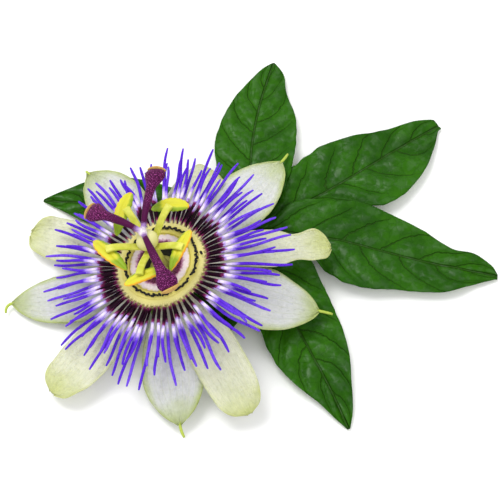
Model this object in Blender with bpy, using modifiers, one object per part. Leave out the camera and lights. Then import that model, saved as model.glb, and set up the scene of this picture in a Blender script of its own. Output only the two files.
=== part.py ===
"""A cut passion flower lying face up, with a short piece of vine and two leaves.

Units are metres and +Z is up. The origin is the small flat spot under the vine's
first node, below the middle of the bloom. The bloom is modelled upright about its
own ring centre and leans to -X as a whole.
"""

import math
import random

import bmesh
import bpy
from mathutils import Matrix, Vector

MM = 0.001
GAP = 0.3 * MM
WELD = 0.01 * MM
UP = Vector((0, 0, 1))

# The bloom: its ring of short filaments is centred this far above the origin.
BLOOM_HEIGHT = 15 * MM
BLOOM_LEAN = math.radians(15)

TEPAL_THICKNESS = 0.7 * MM
BRACT_THICKNESS = 0.6 * MM
BRACT_HEIGHT = -9.9 * MM
BLADE_COLUMNS = 6
TEPAL_ROOT_REACH = 8.7 * MM
SEPAL_ROOT_HEIGHT = -5.0 * MM
PETAL_ROOT_HEIGHT = -3.5 * MM
TEPAL_ROWS = 12
TEPAL_ARCH_REACH = 24 * MM
AWN_LENGTH = 3.6 * MM

# One line a tepal: degrees round the bloom at the root, further degrees at the tip, then
# in mm the tip's reach and height, the height of its arch, its half width, how far the
# tip curls up, how far the edges of the tip fold up, and the share by which it is waisted.
# A sepal's line ends with the degrees that its awn turns aside.
SEPALS = (
    (46, 4, 44.8, -15.3, -6.7, 9.0, 0.0, 0.8, 0.0, 10),
    (121, 5, 40.5, -5.6, -5.9, 8.0, 0.0, 0.6, 0.0, 0),
    (192, -4, 42.3, -2.3, -7.0, 7.2, 0.0, 0.6, 0.0, 55),
    (271.5, 2, 40.2, -12.3, -7.0, 8.4, 0.0, 0.3, 0.0, 10),
    (337, 8, 39.5, -17.4, -6.0, 8.4, 0.0, 0.4, 0.0, 0),
)
PETALS = (
    (10, -1, 42.8, -16.6, -2.4, 5.6, 1.6, 2.4, 0.32),
    (83, -14, 33.0, -11.7, -2.4, 5.6, 0.6, 1.0, 0.0),
    (156, 3, 41.0, -3.5, -3.6, 6.2, 0.8, 1.4, 0.0),
    (228, -1, 43.3, -5.5, -3.8, 7.0, 1.8, 1.6, 0.0),
    (300, -2, 43.0, -16.4, -2.4, 6.6, 1.6, 2.4, 0.0),
)

FILAMENTS_PER_ROW = 46
FILAMENT_REACH = 33.5 * MM
UPPER_REACH_SHARE = 0.87
FILAMENT_STATIONS = 4
HIGH_SIDE_STRETCH = 0.035
RING_INNER = 8.5 * MM
RING_OUTER = 11.1 * MM
SHORT_FILAMENTS = 32

# The column with all that it carries leans back a little from the bloom's own axis.
COLUMN_LEAN = (math.radians(-2.8), math.radians(3.4), 0)
COLUMN_TOP = 10.4 * MM
COLUMN_FOOT = -4.7 * MM
OVARY_RADIUS = 2.9 * MM
OVARY_HEIGHT = 5.0 * MM
STYLE_HUB_HEIGHT = 16.85 * MM

# Degrees round the column of the stalk's end, the anther's reach in mm, degrees that it turns
# from crosswise, in mm half its length and how far it is slid along it, and its roll in degrees.
ANTHERS = (
    (122, 11.9, 44, 6.4, 1.5, -8),
    (55.5, 11.2, 34, 5.0, 0.9, 0),
    (-21, 8.9, -2, 6.0, 0.0, -18),
    (-96, 10.0, 24, 5.9, 1.0, -18),
    (-166.5, 10.2, 31, 6.5, 0.6, -18),
)
STALK_REACH = 10.1 * MM
ANTHER_HEIGHT = 13.0 * MM
ANTHER_HALF_WIDTH = 1.6 * MM
ANTHER_HALF_HEIGHT = 0.95 * MM

# Degrees round the column, then in mm the reach and height of each style's head.
STYLES = ((82, 15.7, 16.7), (150.5, 14.1, 16.4), (295, 14.4, 16.2))
# Along an arm, its half width and half height in mm: thin, then a flat flared head.
STYLE_WIDTHS = (
    (0, 0.65), (0.3, 0.8), (0.5, 1.05), (0.68, 1.2),
    (0.76, 1.4), (0.86, 2.2), (0.94, 2.55), (1.0, 1.9),
)
STYLE_DEPTHS = ((0, 0.65), (0.5, 0.85), (0.7, 0.95), (0.86, 1.2), (0.94, 1.2), (1.0, 0.7))

# The vine's own points, in mm; its nodes are at the second, third and fourth.
VINE_POINTS = ((-21, -19.5, 1.5), (-12, -12.5, 1.5), (0, 0, 1.5), (9, 10.5, 1.5), (16.8, 18.6, 1.5))
VINE_RADIUS = 1.45 * MM
NODE_RADIUS = 2.0 * MM

LEAF_THICKNESS = 0.7 * MM
MIDRIB_THICKNESS = 1.05 * MM
LOBE_ROW_SPACING = 6.0
LEAF_SINUS_REACH = 4.2 * MM
OUTER_LOBE_BOUND = 26


# ---------------------------------------------------------------- small helpers


def polar(degrees, reach, height):
    """A point of the bloom's own frame, from its turn, reach and height."""
    turn = math.radians(degrees)
    return Vector((reach * math.cos(turn), reach * math.sin(turn), height))


def smooth_step(low, high, value):
    share = min(max((value - low) / (high - low), 0.0), 1.0)
    return share * share * (3 - 2 * share)


def through(knots, value):
    """The value of a smooth curve through (place, value) knots."""
    last = len(knots) - 1
    k = 0
    while k < last - 1 and value > knots[k + 1][0]:
        k += 1
    (x1, y1), (x2, y2) = knots[k], knots[k + 1]
    x0, y0 = knots[max(k - 1, 0)]
    x3, y3 = knots[min(k + 2, last)]
    span = x2 - x1
    start_slope = (y2 - y0) / (x2 - x0) * span
    end_slope = (y3 - y1) / (x3 - x1) * span
    t = min(max((value - x1) / span, 0.0), 1.0)
    eased = t * t * (3 - 2 * t)
    return y1 + (y2 - y1) * eased + (t**3 - 2 * t**2 + t) * start_slope + (t**3 - t**2) * end_slope


def smooth_path(points, count):
    """Evenly numbered points on a Catmull-Rom curve through the given ones."""
    held = [Vector(p) for p in points]
    held = [held[0] * 2 - held[1]] + held + [held[-1] * 2 - held[-2]]
    spans = len(held) - 3
    path = []
    for i in range(count):
        place = min(i / (count - 1) * spans, spans - 1e-9)
        k = int(place)
        t = place - k
        a, b, c, d = held[k : k + 4]
        path.append(
            0.5 * (2 * b + (c - a) * t + (2 * a - 5 * b + 4 * c - d) * t**2 + (3 * b - a - 3 * c + d) * t**3)
        )
    return path


def bezier(start, middle, end, count):
    return [
        start * (1 - t) ** 2 + middle * 2 * t * (1 - t) + end * t**2
        for t in (i / (count - 1) for i in range(count))
    ]


def material(name, colour, roughness):
    made = bpy.data.materials.new(name)
    made.use_nodes = True
    shader = made.node_tree.nodes["Principled BSDF"]
    shader.inputs["Base Color"].default_value = (*colour, 1)
    shader.inputs["Roughness"].default_value = roughness
    shader.inputs["Metallic"].default_value = 0
    made.diffuse_color = (*colour, 1)
    return made


def add_object(name, mesh, finish, parent=None):
    made = bpy.data.objects.new(name, mesh)
    flower.objects.link(made)
    made.parent = parent
    if finish:
        made.data.materials.append(finish)
    mesh.shade_smooth()
    return made


def mesh_from(bm, name):
    bm.normal_update()
    bmesh.ops.recalc_face_normals(bm, faces=bm.faces)
    mesh = bpy.data.meshes.new(name)
    bm.to_mesh(mesh)
    bm.free()
    return mesh


def turned(name, profile, finish, parent, steps=24):
    """A solid of revolution about Z from (radius, height) points, outer side top to bottom."""
    mesh = bpy.data.meshes.new(name)
    edges = [(i, i + 1) for i in range(len(profile) - 1)]
    mesh.from_pydata([(r, 0, z) for r, z in profile], edges, [])
    made = add_object(name, mesh, finish, parent)
    screw = made.modifiers.new("turn", "SCREW")
    screw.steps = steps
    screw.render_steps = steps
    screw.use_merge_vertices = True
    screw.merge_threshold = WELD
    return made


def tube(name, points, radii, finish, parent=None, resolution=2):
    """A closed mesh tube along the points, from a bevelled curve with filled caps."""
    curve = bpy.data.curves.new(name, "CURVE")
    curve.dimensions = "3D"
    curve.bevel_depth = 1
    curve.bevel_resolution = resolution
    curve.use_fill_caps = True
    line = curve.splines.new("POLY")
    line.points.add(len(points) - 1)
    for point, place, radius in zip(line.points, points, radii):
        point.co = (*place, 1)
        point.radius = radius
    drawn = bpy.data.objects.new(name, curve)
    flower.objects.link(drawn)
    bpy.context.view_layer.update()
    seen = drawn.evaluated_get(bpy.context.evaluated_depsgraph_get())
    bm = bmesh.new()
    bm.from_mesh(bpy.data.meshes.new_from_object(seen))
    bpy.data.objects.remove(drawn)
    bmesh.ops.remove_doubles(bm, verts=bm.verts, dist=WELD)
    return add_object(name, mesh_from(bm, name), finish, parent)


def rod(name, sections, sides, finish, parent=None):
    """A closed rod through flattened rings, each (middle, side, over, half width, half height)."""
    bm = bmesh.new()
    face = bmesh.ops.create_circle(bm, cap_ends=True, segments=sides, radius=MM)["verts"][0].link_faces[0]
    for k, (middle, side, over, half_width, half_height) in enumerate(sections):
        if k > 0:
            face = bmesh.ops.extrude_discrete_faces(bm, faces=[face])["faces"][0]
        for i, vert in enumerate(face.verts):
            angle = math.tau * i / sides
            vert.co = middle + side * half_width * math.cos(angle) + over * half_height * math.sin(angle)
    bmesh.ops.holes_fill(bm, edges=[e for e in bm.edges if e.is_boundary])
    return add_object(name, mesh_from(bm, name), finish, parent)


def fuse(body, others):
    """Joins the other objects to the body with one union, and removes them."""
    joined = bpy.data.collections.new(body.name + "_joined")
    bpy.context.scene.collection.children.link(joined)
    for other in others:
        joined.objects.link(other)
        flower.objects.unlink(other)
    union = body.modifiers.new("union", "BOOLEAN")
    union.operation = "UNION"
    union.operand_type = "COLLECTION"
    union.collection = joined
    bpy.context.view_layer.update()
    seen = body.evaluated_get(bpy.context.evaluated_depsgraph_get())
    mesh = bpy.data.meshes.new_from_object(seen)
    body.modifiers.clear()
    body.data = mesh
    for other in others:
        bpy.data.objects.remove(other)
    bpy.data.collections.remove(joined)
    mesh.shade_smooth()
    return body


def fringed_ring(name, profile, steps, is_root, every, stations, finish, parent, first=0):
    """A turned ring with one limb grown from every so-many-th of the wall faces that is_root picks.

    stations(i, turn) lists a limb's cross-sections as (middle, side, up, half width, half height).
    """
    bm = bmesh.new()
    corners = [bm.verts.new((r, 0, z)) for r, z in profile]
    edges = [bm.edges.new((a, b)) for a, b in zip(corners, corners[1:])]
    if profile[0][0] > 0:
        edges.append(bm.edges.new((corners[-1], corners[0])))
    bmesh.ops.spin(
        bm, geom=corners + edges, axis=(0, 0, 1), cent=(0, 0, 0), angle=math.tau, steps=steps, use_merge=True
    )
    bmesh.ops.remove_doubles(bm, verts=bm.verts, dist=WELD)
    bmesh.ops.recalc_face_normals(bm, faces=bm.faces)

    def turn_of(face):
        middle = face.calc_center_median()
        return math.atan2(middle.y, middle.x) % math.tau

    roots = sorted((f for f in bm.faces if is_root(f)), key=turn_of)[first::every]
    for i, face in enumerate(roots):
        for middle, side, up, half_width, half_height in stations(i, turn_of(face)):
            face = bmesh.ops.extrude_discrete_faces(bm, faces=[face])["faces"][0]
            centre = face.calc_center_median()
            for vert in face.verts:
                across = math.copysign(half_width, (vert.co - centre).dot(side))
                above = math.copysign(half_height, (vert.co - centre).dot(up))
                vert.co = middle + side * across + up * above
    return add_object(name, mesh_from(bm, name), finish, parent)


# ---------------------------------------------------------------- sepals and petals


def blade(name, spine, half_widths, lift, thickness, finish, parent):
    """A thin closed blade: a waved strip along the spine, split alike on both faces, made solid."""
    bm = bmesh.new()
    rows = []
    last = len(spine) - 1
    for i, (middle, half) in enumerate(zip(spine, half_widths)):
        along = (spine[min(i + 1, last)] - spine[max(i - 1, 0)]).normalized()
        side = along.cross(UP).normalized()
        over = side.cross(along)
        row = []
        for k in range(BLADE_COLUMNS + 1):
            across = 2 * k / BLADE_COLUMNS - 1
            row.append(bm.verts.new(middle + side * half * across + over * lift(i / last, across)))
        rows.append(row)
    for near, far in zip(rows, rows[1:]):
        for k in range(BLADE_COLUMNS):
            bm.faces.new((near[k], near[k + 1], far[k + 1], far[k]))
    bmesh.ops.triangulate(bm, faces=bm.faces, quad_method="FIXED")
    mesh = bpy.data.meshes.new(name)
    bm.to_mesh(mesh)
    bm.free()
    made = add_object(name, mesh, finish, parent)
    solid = made.modifiers.new("thickness", "SOLIDIFY")
    solid.thickness = thickness
    solid.offset = -1
    return made


def tepal_spine(root_turn, swing, reach, tip_height, arch, root_height, curl, count):
    """Points from the cup's rim to the tip, arched, with the last stretch curled up."""
    points = []
    side_on = bezier(
        Vector((TEPAL_ROOT_REACH, root_height, 0)),
        Vector((TEPAL_ARCH_REACH, arch, 0)),
        Vector((reach, tip_height, 0)),
        count,
    )
    for i, place in enumerate(side_on):
        share = i / (count - 1)
        turn = root_turn + swing * share
        raised = curl * smooth_step(0.8, 1.0, share)
        points.append(polar(turn, place.x, place.y + raised))
    return points


SEPAL_OUTLINE = (
    (0, 0.34), (0.16, 0.55), (0.42, 0.93), (0.6, 1.0),
    (0.7, 0.94), (0.8, 0.8), (0.9, 0.55), (1.0, 0.1),
)
PETAL_OUTLINE = ((0, 0.38), (0.16, 0.52), (0.42, 0.9), (0.62, 1.0), (0.82, 0.97), (0.94, 0.78), (1.0, 0.35))


def tepal_width(outline, share, waist):
    """Half width along a tepal, as a share of its widest; a waist narrows it before the tip."""
    pinch = waist * math.exp(-(((share - 0.76) / 0.1) ** 2))
    return through(outline, share) * (1 - pinch)


def sepal(index, row, finish, parent):
    """A sepal, convex across, that runs on past its tip as a thin hooked awn."""
    turn, swing, reach, tip, arch, half, curl, fold, waist, awn_turn = row
    spine = tepal_spine(
        turn, swing, reach * MM, tip * MM, arch * MM, SEPAL_ROOT_HEIGHT, curl * MM, TEPAL_ROWS
    )
    shares = [i / (TEPAL_ROWS - 1) for i in range(TEPAL_ROWS)]
    widths = [half * MM * tepal_width(SEPAL_OUTLINE, share, waist) for share in shares]
    outward = (spine[-1] - spine[-2]).normalized()
    tip_point = spine[-1]
    for k in (1, 2, 3):
        share = k / 3
        drop = Vector((0, 0, -0.12 * AWN_LENGTH * share**2))
        aside = Matrix.Rotation(math.radians(awn_turn) * share, 3, "Z")
        spine.append(tip_point + aside @ outward * AWN_LENGTH * share + drop)
        widths.append(TEPAL_THICKNESS * (0.55 - 0.2 * share))
    blade_share = (TEPAL_ROWS - 1) / (len(spine) - 1)

    def lift(share, across):
        along = share / blade_share
        if along > 1:
            return 0
        ripple = 0.25 * MM * math.sin(2.6 * math.tau * along + index) * across**2
        convex = -0.7 * MM * across**2 * smooth_step(0.1, 0.4, along)
        rolled = fold * MM * abs(across) ** 3 * smooth_step(0.75, 0.95, along)
        ends = 1 - smooth_step(0.94, 1.0, along)
        return (ripple + convex + rolled) * ends

    return blade(f"sepal_{index + 1}", spine, widths, lift, TEPAL_THICKNESS, finish, parent)


def petal(index, row, finish, parent):
    """A petal, hollow across, whose tip curls up and folds in at the edges."""
    turn, swing, reach, tip, arch, half, curl, fold, waist = row
    spine = tepal_spine(
        turn, swing, reach * MM, tip * MM, arch * MM, PETAL_ROOT_HEIGHT, curl * MM, TEPAL_ROWS
    )
    shares = [i / (TEPAL_ROWS - 1) for i in range(TEPAL_ROWS)]
    widths = [half * MM * tepal_width(PETAL_OUTLINE, share, waist) for share in shares]

    def lift(share, across):
        ripple = 0.2 * MM * math.sin(3 * math.tau * share + 2 * index) * across**2
        hollow = 0.35 * MM * across**2 * smooth_step(0.1, 0.4, share)
        folded = fold * MM * across**2 * smooth_step(0.72, 0.95, share)
        return (ripple + hollow + folded) * (1 - 0.7 * smooth_step(0.94, 1.0, share))

    return blade(f"petal_{index + 1}", spine, widths, lift, TEPAL_THICKNESS, finish, parent)


# ---------------------------------------------------------------- corona


def filament_row(name, ring_low, ring_high, tip_height, reach, seed, finish, parent):
    """A ring whose outer wall grows a row of long, thin, slightly wavy filaments."""
    draw = random.Random(seed)
    middle_height = (ring_low + ring_high) / 2

    def stations(i, turn):
        length = reach * draw.uniform(0.94, 1.03) * (1 + HIGH_SIDE_STRETCH * math.cos(turn))
        phase = draw.uniform(0, math.tau)
        sway = draw.uniform(-1.5, 1.5)
        wave = draw.uniform(0.15, 0.5) * MM
        top = tip_height + draw.uniform(-0.3, 0.3) * MM
        sections = []
        for k in range(1, FILAMENT_STATIONS + 1):
            share = k / FILAMENT_STATIONS
            out = RING_OUTER + (length - RING_OUTER) * share
            aside = wave * math.sin(phase + 1.7 * math.tau * share) * share
            height = middle_height + (top - middle_height) * share
            side = Vector((-math.sin(turn), math.cos(turn), 0))
            centre = polar(math.degrees(turn) + sway * share, out, height) + side * aside
            half = through(((0, 0.4 * MM), (0.3, 0.42 * MM), (0.8, 0.36 * MM), (1.0, 0.12 * MM)), share)
            sections.append((centre, side, UP, half, half * 0.85))
        return sections

    profile = (
        (RING_INNER, ring_low),
        (RING_OUTER, ring_low),
        (RING_OUTER, ring_high),
        (RING_INNER, ring_high),
    )
    return fringed_ring(
        name,
        profile,
        2 * FILAMENTS_PER_ROW,
        lambda f: math.hypot(*f.calc_center_median()[:2]) > 0.99 * RING_OUTER,
        2,
        stations,
        finish,
        parent,
    )


def short_corona(finish, parent):
    """A low ring from which short filaments with round dark heads stand up."""
    top = 0.75 * MM
    low = 0.3 * MM
    inner = 8.3 * MM
    outer = 10.2 * MM
    heads = 9.5 * MM

    def stations(i, turn):
        side = Vector((-math.sin(turn), math.cos(turn), 0))
        out = Vector((math.cos(turn), math.sin(turn), 0))
        lean = 0.15 * MM * math.sin(2.4 * i)
        sizes = ((1.0 * MM, 0.35 * MM), (1.4 * MM, 0.55 * MM), (1.75 * MM, 0.25 * MM))
        return [(out * (heads + lean) + Vector((0, 0, z)), side, out, half, half) for z, half in sizes]

    profile = (
        (inner, low),
        (outer, low),
        (heads + 0.3 * MM, top),
        (heads - 0.3 * MM, top),
    )

    def is_head_root(face):
        middle = face.calc_center_median()
        return abs(math.hypot(middle.x, middle.y) - heads) < 0.1 * MM and middle.z > top - 0.05 * MM

    return fringed_ring(
        "corona_short", profile, 2 * SHORT_FILAMENTS, is_head_root, 2, stations, finish, parent
    )


def operculum(finish, parent):
    """The membrane over the nectar chamber: a low dome with a toothed fringe round the column."""

    def stations(i, turn):
        side = Vector((-math.sin(turn), math.cos(turn), 0))
        lean = 0.12 * MM * math.sin(1.9 * i)
        return [
            (polar(math.degrees(turn), 4.9 * MM, 0.5 * MM + lean), side, UP, 0.16 * MM, 0.2 * MM),
            (polar(math.degrees(turn), 4.35 * MM, 0.9 * MM + lean), side, UP, 0.1 * MM, 0.1 * MM),
        ]

    inner = 5.6 * MM
    profile = (
        (8.1 * MM, -2.8 * MM),
        (8.1 * MM, -0.3 * MM),
        (6.9 * MM, 0.4 * MM),
        (inner, 0.55 * MM),
        (inner, -0.1 * MM),
        (7.45 * MM, -0.8 * MM),
        (7.45 * MM, -2.8 * MM),
    )
    return fringed_ring(
        "operculum",
        profile,
        52,
        lambda f: abs(math.hypot(*f.calc_center_median()[:2]) - inner) < 0.05 * MM,
        2,
        stations,
        finish,
        parent,
    )


# ---------------------------------------------------------------- column, stamens, ovary, styles


def androgynophore(finish, parent):
    """The central column on its foot disc, with five flat stamen stalks grown from its top."""
    wall = 2.0 * MM
    wall_low = COLUMN_TOP - 0.9 * MM

    def stations(i, turn):
        swings = [(row[0] - math.degrees(turn) + 180) % 360 - 180 for row in ANTHERS]
        swing = min(swings, key=abs)
        end_height = ANTHER_HEIGHT + ANTHER_HALF_HEIGHT + GAP + 0.45 * MM
        sections = []
        for k in range(1, 7):
            share = k / 6
            reach = wall + (STALK_REACH - wall) * share
            rise = (end_height - COLUMN_TOP + 0.45 * MM) * smooth_step(0, 0.85, share)
            centre = polar(math.degrees(turn) + swing * share, reach, COLUMN_TOP - 0.45 * MM + rise)
            facing = math.radians(math.degrees(turn) + swing * share)
            side = Vector((-math.sin(facing), math.cos(facing), 0))
            half = through(((0, 0.9 * MM), (0.3, 1.0 * MM), (0.75, 1.05 * MM), (1.0, 0.9 * MM)), share)
            sections.append((centre, side, UP, half, 0.42 * MM))
        return sections

    profile = (
        (0, COLUMN_FOOT),
        (2.6 * MM, COLUMN_FOOT),
        (2.2 * MM, -3.2 * MM),
        (3.5 * MM, -2.6 * MM),
        (3.5 * MM, -2.1 * MM),
        (2.0 * MM, -1.7 * MM),
        (1.7 * MM, 2.0 * MM),
        (1.6 * MM, 7.0 * MM),
        (wall, wall_low),
        (wall, COLUMN_TOP),
        (0, COLUMN_TOP),
    )
    return fringed_ring(
        "androgynophore",
        profile,
        15,
        lambda f: wall_low < f.calc_center_median().z < COLUMN_TOP - 0.1 * MM,
        3,
        stations,
        finish,
        parent,
        first=1,
    )


def anther(index, row, finish, parent):
    """A boat-shaped pollen pod, bent a little along its length, with a groove under it."""
    turn, reach, yaw, half_length, slide, roll = row
    bm = bmesh.new()
    bmesh.ops.create_uvsphere(bm, u_segments=12, v_segments=8, radius=1)
    for vert in bm.verts:
        x, y, z = vert.co.z, vert.co.y, vert.co.x
        groove = 0.25 * math.exp(-((y / 0.3) ** 2)) if z < 0 else 0.0
        vert.co = (
            half_length * MM * x,
            ANTHER_HALF_WIDTH * y * (1.12 - 0.12 * x * x),
            ANTHER_HALF_HEIGHT * (z + groove) - 0.7 * MM * x * x,
        )
    made = add_object(f"anther_{index + 1}", mesh_from(bm, "anther"), finish, parent)
    made.location = polar(turn, reach * MM, ANTHER_HEIGHT) + polar(turn + 90 + yaw, slide * MM, 0)
    made.rotation_euler = (math.radians(roll), 0, math.radians(turn + 90 + yaw))
    return made


def ovary(finish, parent):
    """The egg on the column, with its base just clear of the column's top."""
    base = COLUMN_TOP + GAP
    profile = []
    for k in range(11):
        turn = math.pi * k / 10
        height = base + OVARY_HEIGHT * (0.5 + 0.5 * math.cos(turn))
        profile.append((OVARY_RADIUS * math.sin(turn) ** 0.85 * (1 - 0.12 * math.cos(turn)), height))
    profile[0] = (0, profile[0][1])
    profile[-1] = (0, base)
    return turned("ovary", profile, finish, parent, steps=16)


def style_path(turn, reach, height):
    """A style's middle line: up from the hub, out over the stamens and down to its head."""
    start = polar(turn, -0.5 * MM, STYLE_HUB_HEIGHT - 0.1 * MM)
    rise = polar(turn, 0.3 * reach * MM, STYLE_HUB_HEIGHT + 1.3 * MM)
    far = polar(turn, 0.72 * reach * MM, height * MM + 1.2 * MM)
    end = polar(turn, (reach + 2.6) * MM, height * MM - 0.6 * MM)
    return smooth_path((start, rise, far, end), 13)


def styles(finish, parent):
    """Three thin arms that flare into flat heads, joined at a hub over the ovary."""
    arms = []
    for turn, reach, height in STYLES:
        path = style_path(turn, reach, height)
        side = polar(turn + 90, 1, 0)
        sections = []
        for i, middle in enumerate(path):
            along = (path[min(i + 1, len(path) - 1)] - path[max(i - 1, 0)]).normalized()
            share = i / (len(path) - 1)
            wide = through(STYLE_WIDTHS, share) * MM
            deep = through(STYLE_DEPTHS, share) * MM
            sections.append((middle, side, along.cross(side), wide, deep))
        arms.append(rod("style_arm", sections, 12, finish, parent))
    bm = bmesh.new()
    bmesh.ops.create_uvsphere(bm, u_segments=14, v_segments=8, radius=1.1 * MM)
    for vert in bm.verts:
        vert.co.z = vert.co.z * 0.75 + STYLE_HUB_HEIGHT
    hub = add_object("styles", mesh_from(bm, "styles"), finish, parent)
    return fuse(hub, arms)


def stigma(index, row, finish, parent):
    """The pad on the outer end of a style's head."""
    turn, reach, height = row
    path = style_path(turn, reach, height)
    outward = (path[-1] - path[-2]).normalized()
    bm = bmesh.new()
    bmesh.ops.create_uvsphere(bm, u_segments=12, v_segments=6, radius=1)
    for vert in bm.verts:
        vert.co = (vert.co.x * 2.2 * MM, vert.co.y * 1.0 * MM, vert.co.z * 0.4 * MM)
    made = add_object(f"stigma_{index + 1}", mesh_from(bm, "stigma"), finish, parent)
    made.location = path[-1] + outward * (GAP + 0.4 * MM)
    made.rotation_euler = outward.to_track_quat("Z", "Y").to_euler()
    return made


# ---------------------------------------------------------------- cup, bracts, stalk, vine


def hypanthium(finish, parent):
    """The solid green cup, hollowed on top as the nectar chamber."""
    profile = (
        (0, -5.2 * MM),
        (3.4 * MM, -5.2 * MM),
        (6.6 * MM, -4.4 * MM),
        (7.2 * MM, -3.1 * MM),
        (8.3 * MM, -3.1 * MM),
        (8.4 * MM, -5.6 * MM),
        (7.0 * MM, -7.4 * MM),
        (3.8 * MM, -8.5 * MM),
        (1.8 * MM, -8.9 * MM),
        (0, -8.9 * MM),
    )
    return turned("hypanthium", profile, finish, parent)


def bract(index, turn, finish, parent):
    """A small pointed leaf that stands out from the top of the flower's stalk, under the cup."""
    count = 8
    spine = bezier(
        polar(turn, 1.5 * MM, BRACT_HEIGHT),
        polar(turn, 8 * MM, BRACT_HEIGHT),
        polar(turn, 14.5 * MM, BRACT_HEIGHT + 0.9 * MM),
        count,
    )
    outline = ((0, 0.28), (0.25, 0.8), (0.5, 1.0), (0.8, 0.62), (1.0, 0.14))
    widths = [4.6 * MM * through(outline, i / (count - 1)) for i in range(count)]

    def lift(share, across):
        return -0.5 * MM * across**2 * smooth_step(0.1, 0.5, share)

    return blade(f"bract_{index + 1}", spine, widths, lift, BRACT_THICKNESS, finish, parent)


def to_world(point):
    """From the bloom's own frame to the world."""
    return Vector(
        (
            point.x * math.cos(BLOOM_LEAN) - point.z * math.sin(BLOOM_LEAN),
            point.y,
            point.x * math.sin(BLOOM_LEAN) + point.z * math.cos(BLOOM_LEAN) + BLOOM_HEIGHT,
        )
    )


def peduncle(finish):
    """The flower's stalk: from the vine's upper node, round on the floor, and up into the cup."""
    top = to_world(Vector((0, 0, -8.9 * MM - GAP)))
    below = to_world(Vector((0, 0, -11.4 * MM)))
    route = [(10.4, 7.8, 1.7), (12.4, 3.8, 1.15), (11.4, -2.2, 1.1), (7.4, -4.6, 1.5), (4.4, -2.6, 2.7)]
    points = [Vector(p) * MM for p in route] + [below, top]
    path = smooth_path(points, 25)
    return tube("peduncle", path, [0.95 * MM] * len(path), finish)


def vine_stem(finish):
    """A short cut piece of vine with swollen nodes and a small flat spot at the origin."""
    count = 34
    points = [Vector(p) * MM for p in VINE_POINTS]
    path = smooth_path(points, count)
    radii = []
    for place in path:
        swell = max(math.exp(-(((place - node).length / (1.6 * MM)) ** 2)) for node in points[1:4])
        radii.append(VINE_RADIUS + (NODE_RADIUS - VINE_RADIUS) * swell)
    made = tube("vine_stem", path, radii, finish)
    bm = bmesh.new()
    bm.from_mesh(made.data)
    solid = bm.verts[:] + bm.edges[:] + bm.faces[:]
    bmesh.ops.bisect_plane(bm, geom=solid, plane_co=(0, 0, 0), plane_no=-UP, clear_outer=True)
    bmesh.ops.holes_fill(bm, edges=[e for e in bm.edges if e.is_boundary])
    bmesh.ops.recalc_face_normals(bm, faces=bm.faces)
    bm.to_mesh(made.data)
    bm.free()
    return made


# ---------------------------------------------------------------- leaves

# A lobe: its degrees, then out along that turn the places aside, in mm, of its left edge, its
# midrib and its right edge as (along, aside) knots. Left is counterclockwise and positive.
LOBE_TIP_HEIGHT = 1.1 * MM
RIGHT_LOBES = (
    (
        83,
        (
            (0, 0.5), (6, 5), (13, 10.2), (21, 12.6), (27, 13.1),
            (37, 11.1), (45.5, 7.2), (52.4, 3), (55.3, 0.6),
        ),
        ((0, 0), (22, 2.6), (33, 2.7), (43, 1.9), (55.3, 0)),
        (
            (0, -0.5), (6, -4.2), (13, -7.8), (21, -9.1), (31, -9.2),
            (37, -8), (45, -4.7), (51, -3.3), (55.3, -0.6),
        ),
    ),
    (
        34.5,
        ((0, 0.5), (12, 7.2), (18.4, 8.8), (31, 9.9), (38.5, 8), (47.5, 4.8), (57, 2.5), (63.1, -1)),
        ((0, 0), (9, -0.8), (17.2, -1.9), (30, -2.5), (47, -2.4), (63.1, -2.4)),
        (
            (0, -0.5), (16, -6.3), (24, -9.6), (29.5, -12), (34, -14.8),
            (39, -15.3), (51.1, -11.8), (57.5, -7.5), (63.1, -3.4),
        ),
    ),
    (
        -10,
        (
            (0, 0.5), (9.3, 4.8), (21.5, 9.2), (28.9, 12), (36, 10.9),
            (46.8, 7.4), (54, 4.1), (60.9, 3.6), (67.8, -0.6),
        ),
        ((0, 0), (22, 0.4), (36, -0.4), (48, -1.1), (67.8, -1.2)),
        (
            (0, -0.5), (8, -2.6), (17.2, -5.9), (24, -10.8), (32, -12.3),
            (42, -10.9), (55.5, -8.7), (62, -5), (67.8, -1.8),
        ),
    ),
    (
        -65.8,
        (
            (0, 0.5), (6, 5.6), (13.8, 10.3), (22, 10.6), (36.6, 10),
            (43.7, 8.6), (50.8, 5.8), (57.5, 3), (61.2, 0.6),
        ),
        ((0, 0), (15, -0.6), (31.5, -0.6), (47, 0.1), (61.2, 0.1)),
        (
            (0, -0.5), (8, -4), (18, -8.2), (29.6, -10.1),
            (37.6, -10), (45.4, -7.8), (51.7, -4.4), (61.2, -0.4),
        ),
    ),
    (
        -113,
        ((0, 0.5), (8, 4.4), (20, 8.4), (30, 6.6), (38, 3), (44, 0.5)),
        ((0, 0), (20, 0.3), (44, 0)),
        ((0, -0.5), (8, -4.4), (19, -8.2), (30, -7), (38, -3.2), (44, -0.5)),
    ),
)
RIGHT_HUB = Vector((23.5, 15.4, 3.9)) * MM
RIGHT_PETIOLE = ((11.8, 9.5, 2.0), (15.0, 11.2, 2.5), (19.5, 13.6, 3.0), (23.9, 15.6, 3.5))

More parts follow.
